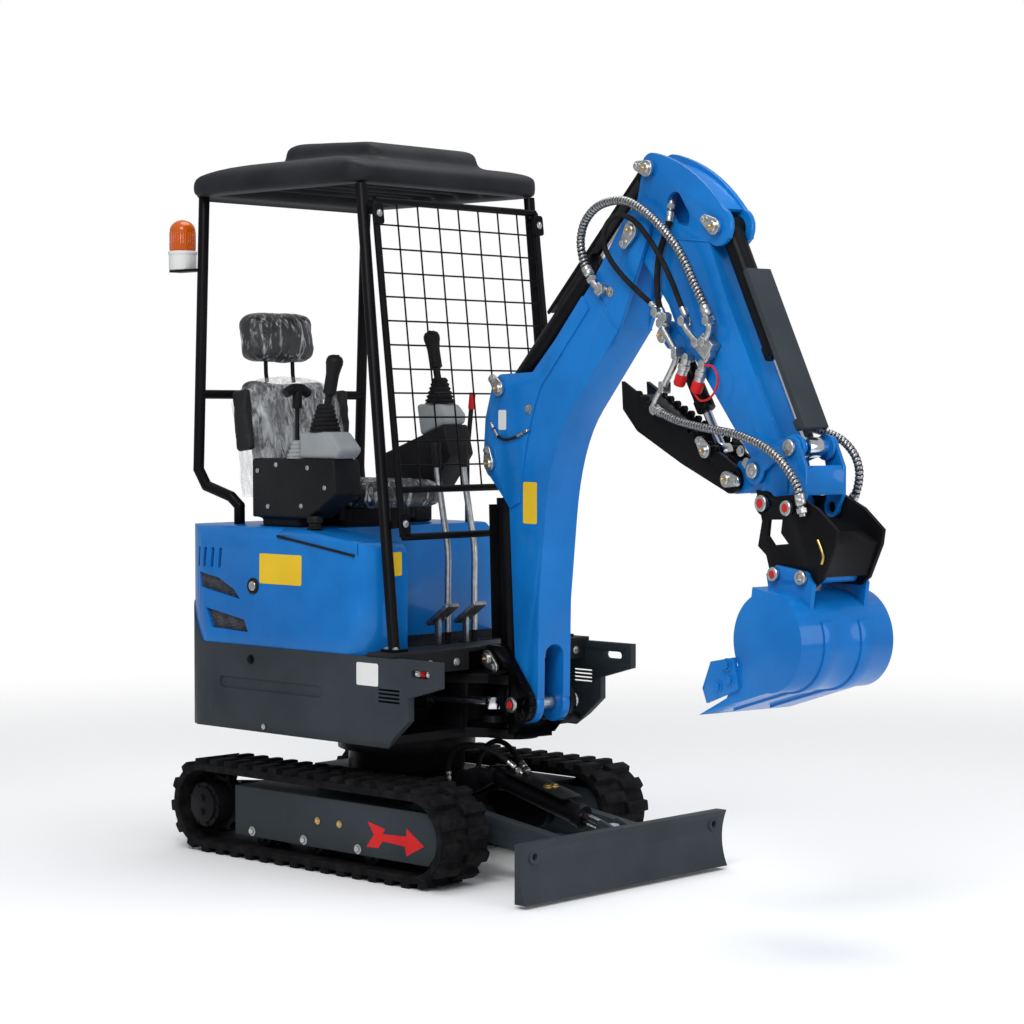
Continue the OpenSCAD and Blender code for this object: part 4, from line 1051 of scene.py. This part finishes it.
def make_pipes():
    """Elbows and hard pipes on the boom and dipper, the two couplers, their caps and a cap's strap."""
    form = bmesh.new()
    elbow = on_arm([(528, 1800), (512, 1808), (500, 1820), (489, 1835)], -80)
    sweep(form, smooth_path(elbow, 0.006), 0.0105, 14)
    prism(form, stand(arm(530, 1798, -61), NEAR), hexagon(0.021), 0.0, 0.026, 0.002)
    finished("boom_elbow", form, ZINC, "boom")
    form = bmesh.new()
    routes = [
        ([(1020, 1692), (1026, 1672), (1020, 1650), (1002, 1634)], -82),
        ([(919, 1694), (930, 1674), (955, 1650), (978, 1632)], -86),
        ([(800, 1692), (812, 1670), (836, 1640), (862, 1606), (860, 1580), (836, 1545), (806, 1508),
          (778, 1478), (764, 1452), (772, 1444)], -66),
        ([(1010, 1600), (1000, 1586), (990, 1576), (984, 1570)], -66),
        ([(1076, 1404), (1050, 1420), (1036, 1460), (1030, 1510)], 66),
        ([(793, 1722), (812, 1712), (836, 1706)], -80)]
    for points, side in routes:
        sweep(form, smooth_path(on_arm(points, side), 0.006), 0.0095, 14)
        for r, z in (points[0], points[-1]):
            prism(form, stand(arm(r, z, side), NEAR), hexagon(0.0155), -0.010, 0.012, 0.0015)
    for r, z in ((862, 1606), (806, 1508)):
        prism(form, stand(arm(r, z, -46), NEAR), rounded(0.034, 0.022, 0.005), 0.0, 0.030, 0.002)
    prism(form, stand(arm(1030, 1510, 45), LATERAL), hexagon(0.017), 0.0, 0.034, 0.002)
    finished("dipper_pipes", form, ZINC, "dipper")
    coupler, caps = bmesh.new(), bmesh.new()
    shell = [(0.014, 0), (0.014, 0.018), (0.017, 0.020), (0.017, 0.034), (0.015, 0.036), (0.015, 0.05),
             (0.011, 0.053)]
    cap = [(0.0165, -0.004), (0.0175, 0.002), (0.0175, 0.024), (0.014, 0.030), (0.006, 0.031)]
    for ends in ([(984, 1570), (962, 1520), (950, 1492)], [(910, 1590), (888, 1540), (876, 1512)]):
        a, b, c = on_arm(ends, -66)
        revolve(coupler, stand(a, b - a), shell, 20)
        revolve(caps, stand(b, c - b), cap, 20)
    finished("quick_couplers", coupler, ZINC, "dipper")
    finished("coupler_caps", caps, RED, "dipper")
    post = bmesh.new()
    prism(post, stand(arm(910, 1590, -45), NEAR), hexagon(0.014), 0.0, 0.030, 0.002)
    finished("cap_post", post, ZINC, "dipper")
    loop = smooth_path(on_arm([(950, 1490), (976, 1470), (1012, 1474), (1042, 1498), (1052, 1532),
                               (1030, 1564), (996, 1568)], -72), 0.004)
    strap = bmesh.new()
    sweep(strap, loop, 0.0032, 10)
    piece = finished("cap_strap", strap, RED, "dipper", 60)
    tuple(loop[0])
    path_length(loop)


make_pipes()


def make_bucket_trim():
    for axis, side in both_sides(177):
        for r, z in ((1215, 752), (1228, 712), (1178, 690)):
            bolt("bucket", arm(r, z, side), axis, 0.012, "blue")
    clip = on_arm([(1481, 1099), (1492, 1080), (1502, 1056), (1496, 1036)], -93)
    tube("hitch_clip", clip, 0.004, 0.0042, BRASS, "bucket", 12, 60)
    edge = bmesh.new()
    for i in range(4):
        seat = stand(arm(1128, 623, -126 + i * 84), arm_dir(-0.28, 0.96), LATERAL)
        prism(edge, seat, rounded(0.046, 0.062, 0.006), 0.0, 0.003)
    finished("lip_wear_pads", edge, BLUE, "bucket")


make_bucket_trim()


# Canopy: the guard's brackets and bolts, the posts' foot bolts, the beacon's lens
GUARD_FOOT = (358, 0, 1055)
GUARD_TOP = (234, 0, 2091)
GUARD_HALF = 0.362


def make_canopy_trim():
    for side in (-1, 1):
        lean = Vector((1, 0, 0.12))
        for z in (2050, 1096):
            back = (GUARD_FOOT[0] - GUARD_TOP[0]) * (z - GUARD_FOOT[2]) / (GUARD_TOP[2] - GUARD_FOOT[2])
            face = at(GUARD_FOOT[0] + 11.5 - back, side * GUARD_HALF * 1000, z)
            form = loose("house", "black")
            prism(form, stand(face, lean), rounded(0.066, 0.042, 0.010), -0.003, 0.004, 0.001)
            bolt("house", face + lean * 0.004, lean, 0.0075)
        for dx in (-18, 18):
            bolt("house", at(336 + dx, side * 392, 711.5), (0, 0, 1), 0.007)
    axis = at(-690, -365, 1974.4)
    upright = stand(axis)
    dome = bmesh.new()
    turns = [i * math.pi / 20 for i in range(10)]
    curve = [(0.043 * math.cos(a), 0.066 + 0.037 * math.sin(a)) for a in turns]
    revolve(dome, upright, [(0.043, 0.0), *curve, (0.004, 0.1032)], 48)
    for i in range(30):
        turn = Matrix.Translation(axis) @ Matrix.Rotation(2 * math.pi * i / 30, 4, "Z")
        rib = turn @ Matrix.Translation((0.0428, 0, 0))
        prism(dome, rib, rounded(0.0022, 0.0050, 0.001, 3), 0.004, 0.062, 0.0008)
    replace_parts(finished("beacon_lens", dome, AMBER, "house", 50), "beacon_dome")
    collar = bmesh.new()
    ring = [(0.0475, -0.012), (0.0485, -0.010), (0.0485, -0.004), (0.0465, -0.001)]
    revolve(collar, upright, ring, 48)
    finished("beacon_collar", collar, WHITE)


make_canopy_trim()
make_fasteners()


def make_guard():
    """Front guard: a tube frame with a welded grid of round wires."""
    low, top, half = at(*GUARD_FOOT), at(*GUARD_TOP), GUARD_HALF
    up = top - low
    bottom = 0.14
    form = bmesh.new()
    for y in (-half, half):
        sweep(form, [low + Vector((0, y, 0)), top + Vector((0, y, 0))], 0.011, 16)
    for share in (0, bottom, 1):
        sweep(form, [low + up * share + Vector((0, y, 0)) for y in (-half, half)], 0.011, 16)
    columns, rows, wire = 8, 12, 0.0028
    for i in range(1, columns):
        shift = Vector((0.002, half * (2 * i / columns - 1), 0))
        sweep(form, [low + up * bottom + shift, top + shift], wire, 8)
    for i in range(1, rows):
        level = low + up * (bottom + (1 - bottom) * i / rows) - Vector((0.002, 0, 0))
        sweep(form, [level + Vector((0, y, 0)) for y in (-half, half)], wire, 8)
    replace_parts(finished("guard_grid", form, BLACK, "house", 60), "front_guard")


make_guard()

# Finish and edges of the CAD solids
OWN_FINISH = {"roof": ROOF_PLASTIC, "pedals": ALUMINIUM}


def soften(solid, width):
    """Rounds a CAD solid's hard edges without touching its mesh."""
    modifier(solid, "WELD", merge_threshold=0.00002)
    modifier(solid, "DECIMATE", decimate_type="DISSOLVE", angle_limit=math.radians(0.5))
    modifier(solid, "BEVEL", width=width, segments=2, limit_method="ANGLE", angle_limit=math.radians(28),
             harden_normals=False, use_clamp_overlap=True)


def mould(solid):
    """Runs a solid's edges into each other, as on a large plastic moulding."""
    modifier(solid, "REMESH", mode="VOXEL", voxel_size=0.007)
    modifier(solid, "SMOOTH", factor=0.5, iterations=50)


EDGE = {"engine_cover": 0.012, "counterweight": 0.006, "consoles": 0.012, "console_tops": 0.012,
        "armrests": 0.014, "blade": 0.005, "track_left": 0.003, "track_right": 0.003,
        "front_guard": 0.0008, "rollers": 0.002}


def finish_nodes():
    for part in frame["record"]["subparts"]:
        name = part["node"]
        solid = NODES[name]
        solid.data.materials.clear()
        solid.data.materials.append(OWN_FINISH.get(name, FINISH[part["material_slot"]]))
        solid.data.polygons.foreach_set("use_smooth", [True] * len(solid.data.polygons))
        if name == "roof":
            mould(solid)
        else:
            soften(solid, EDGE.get(name, 0.002))


finish_nodes()
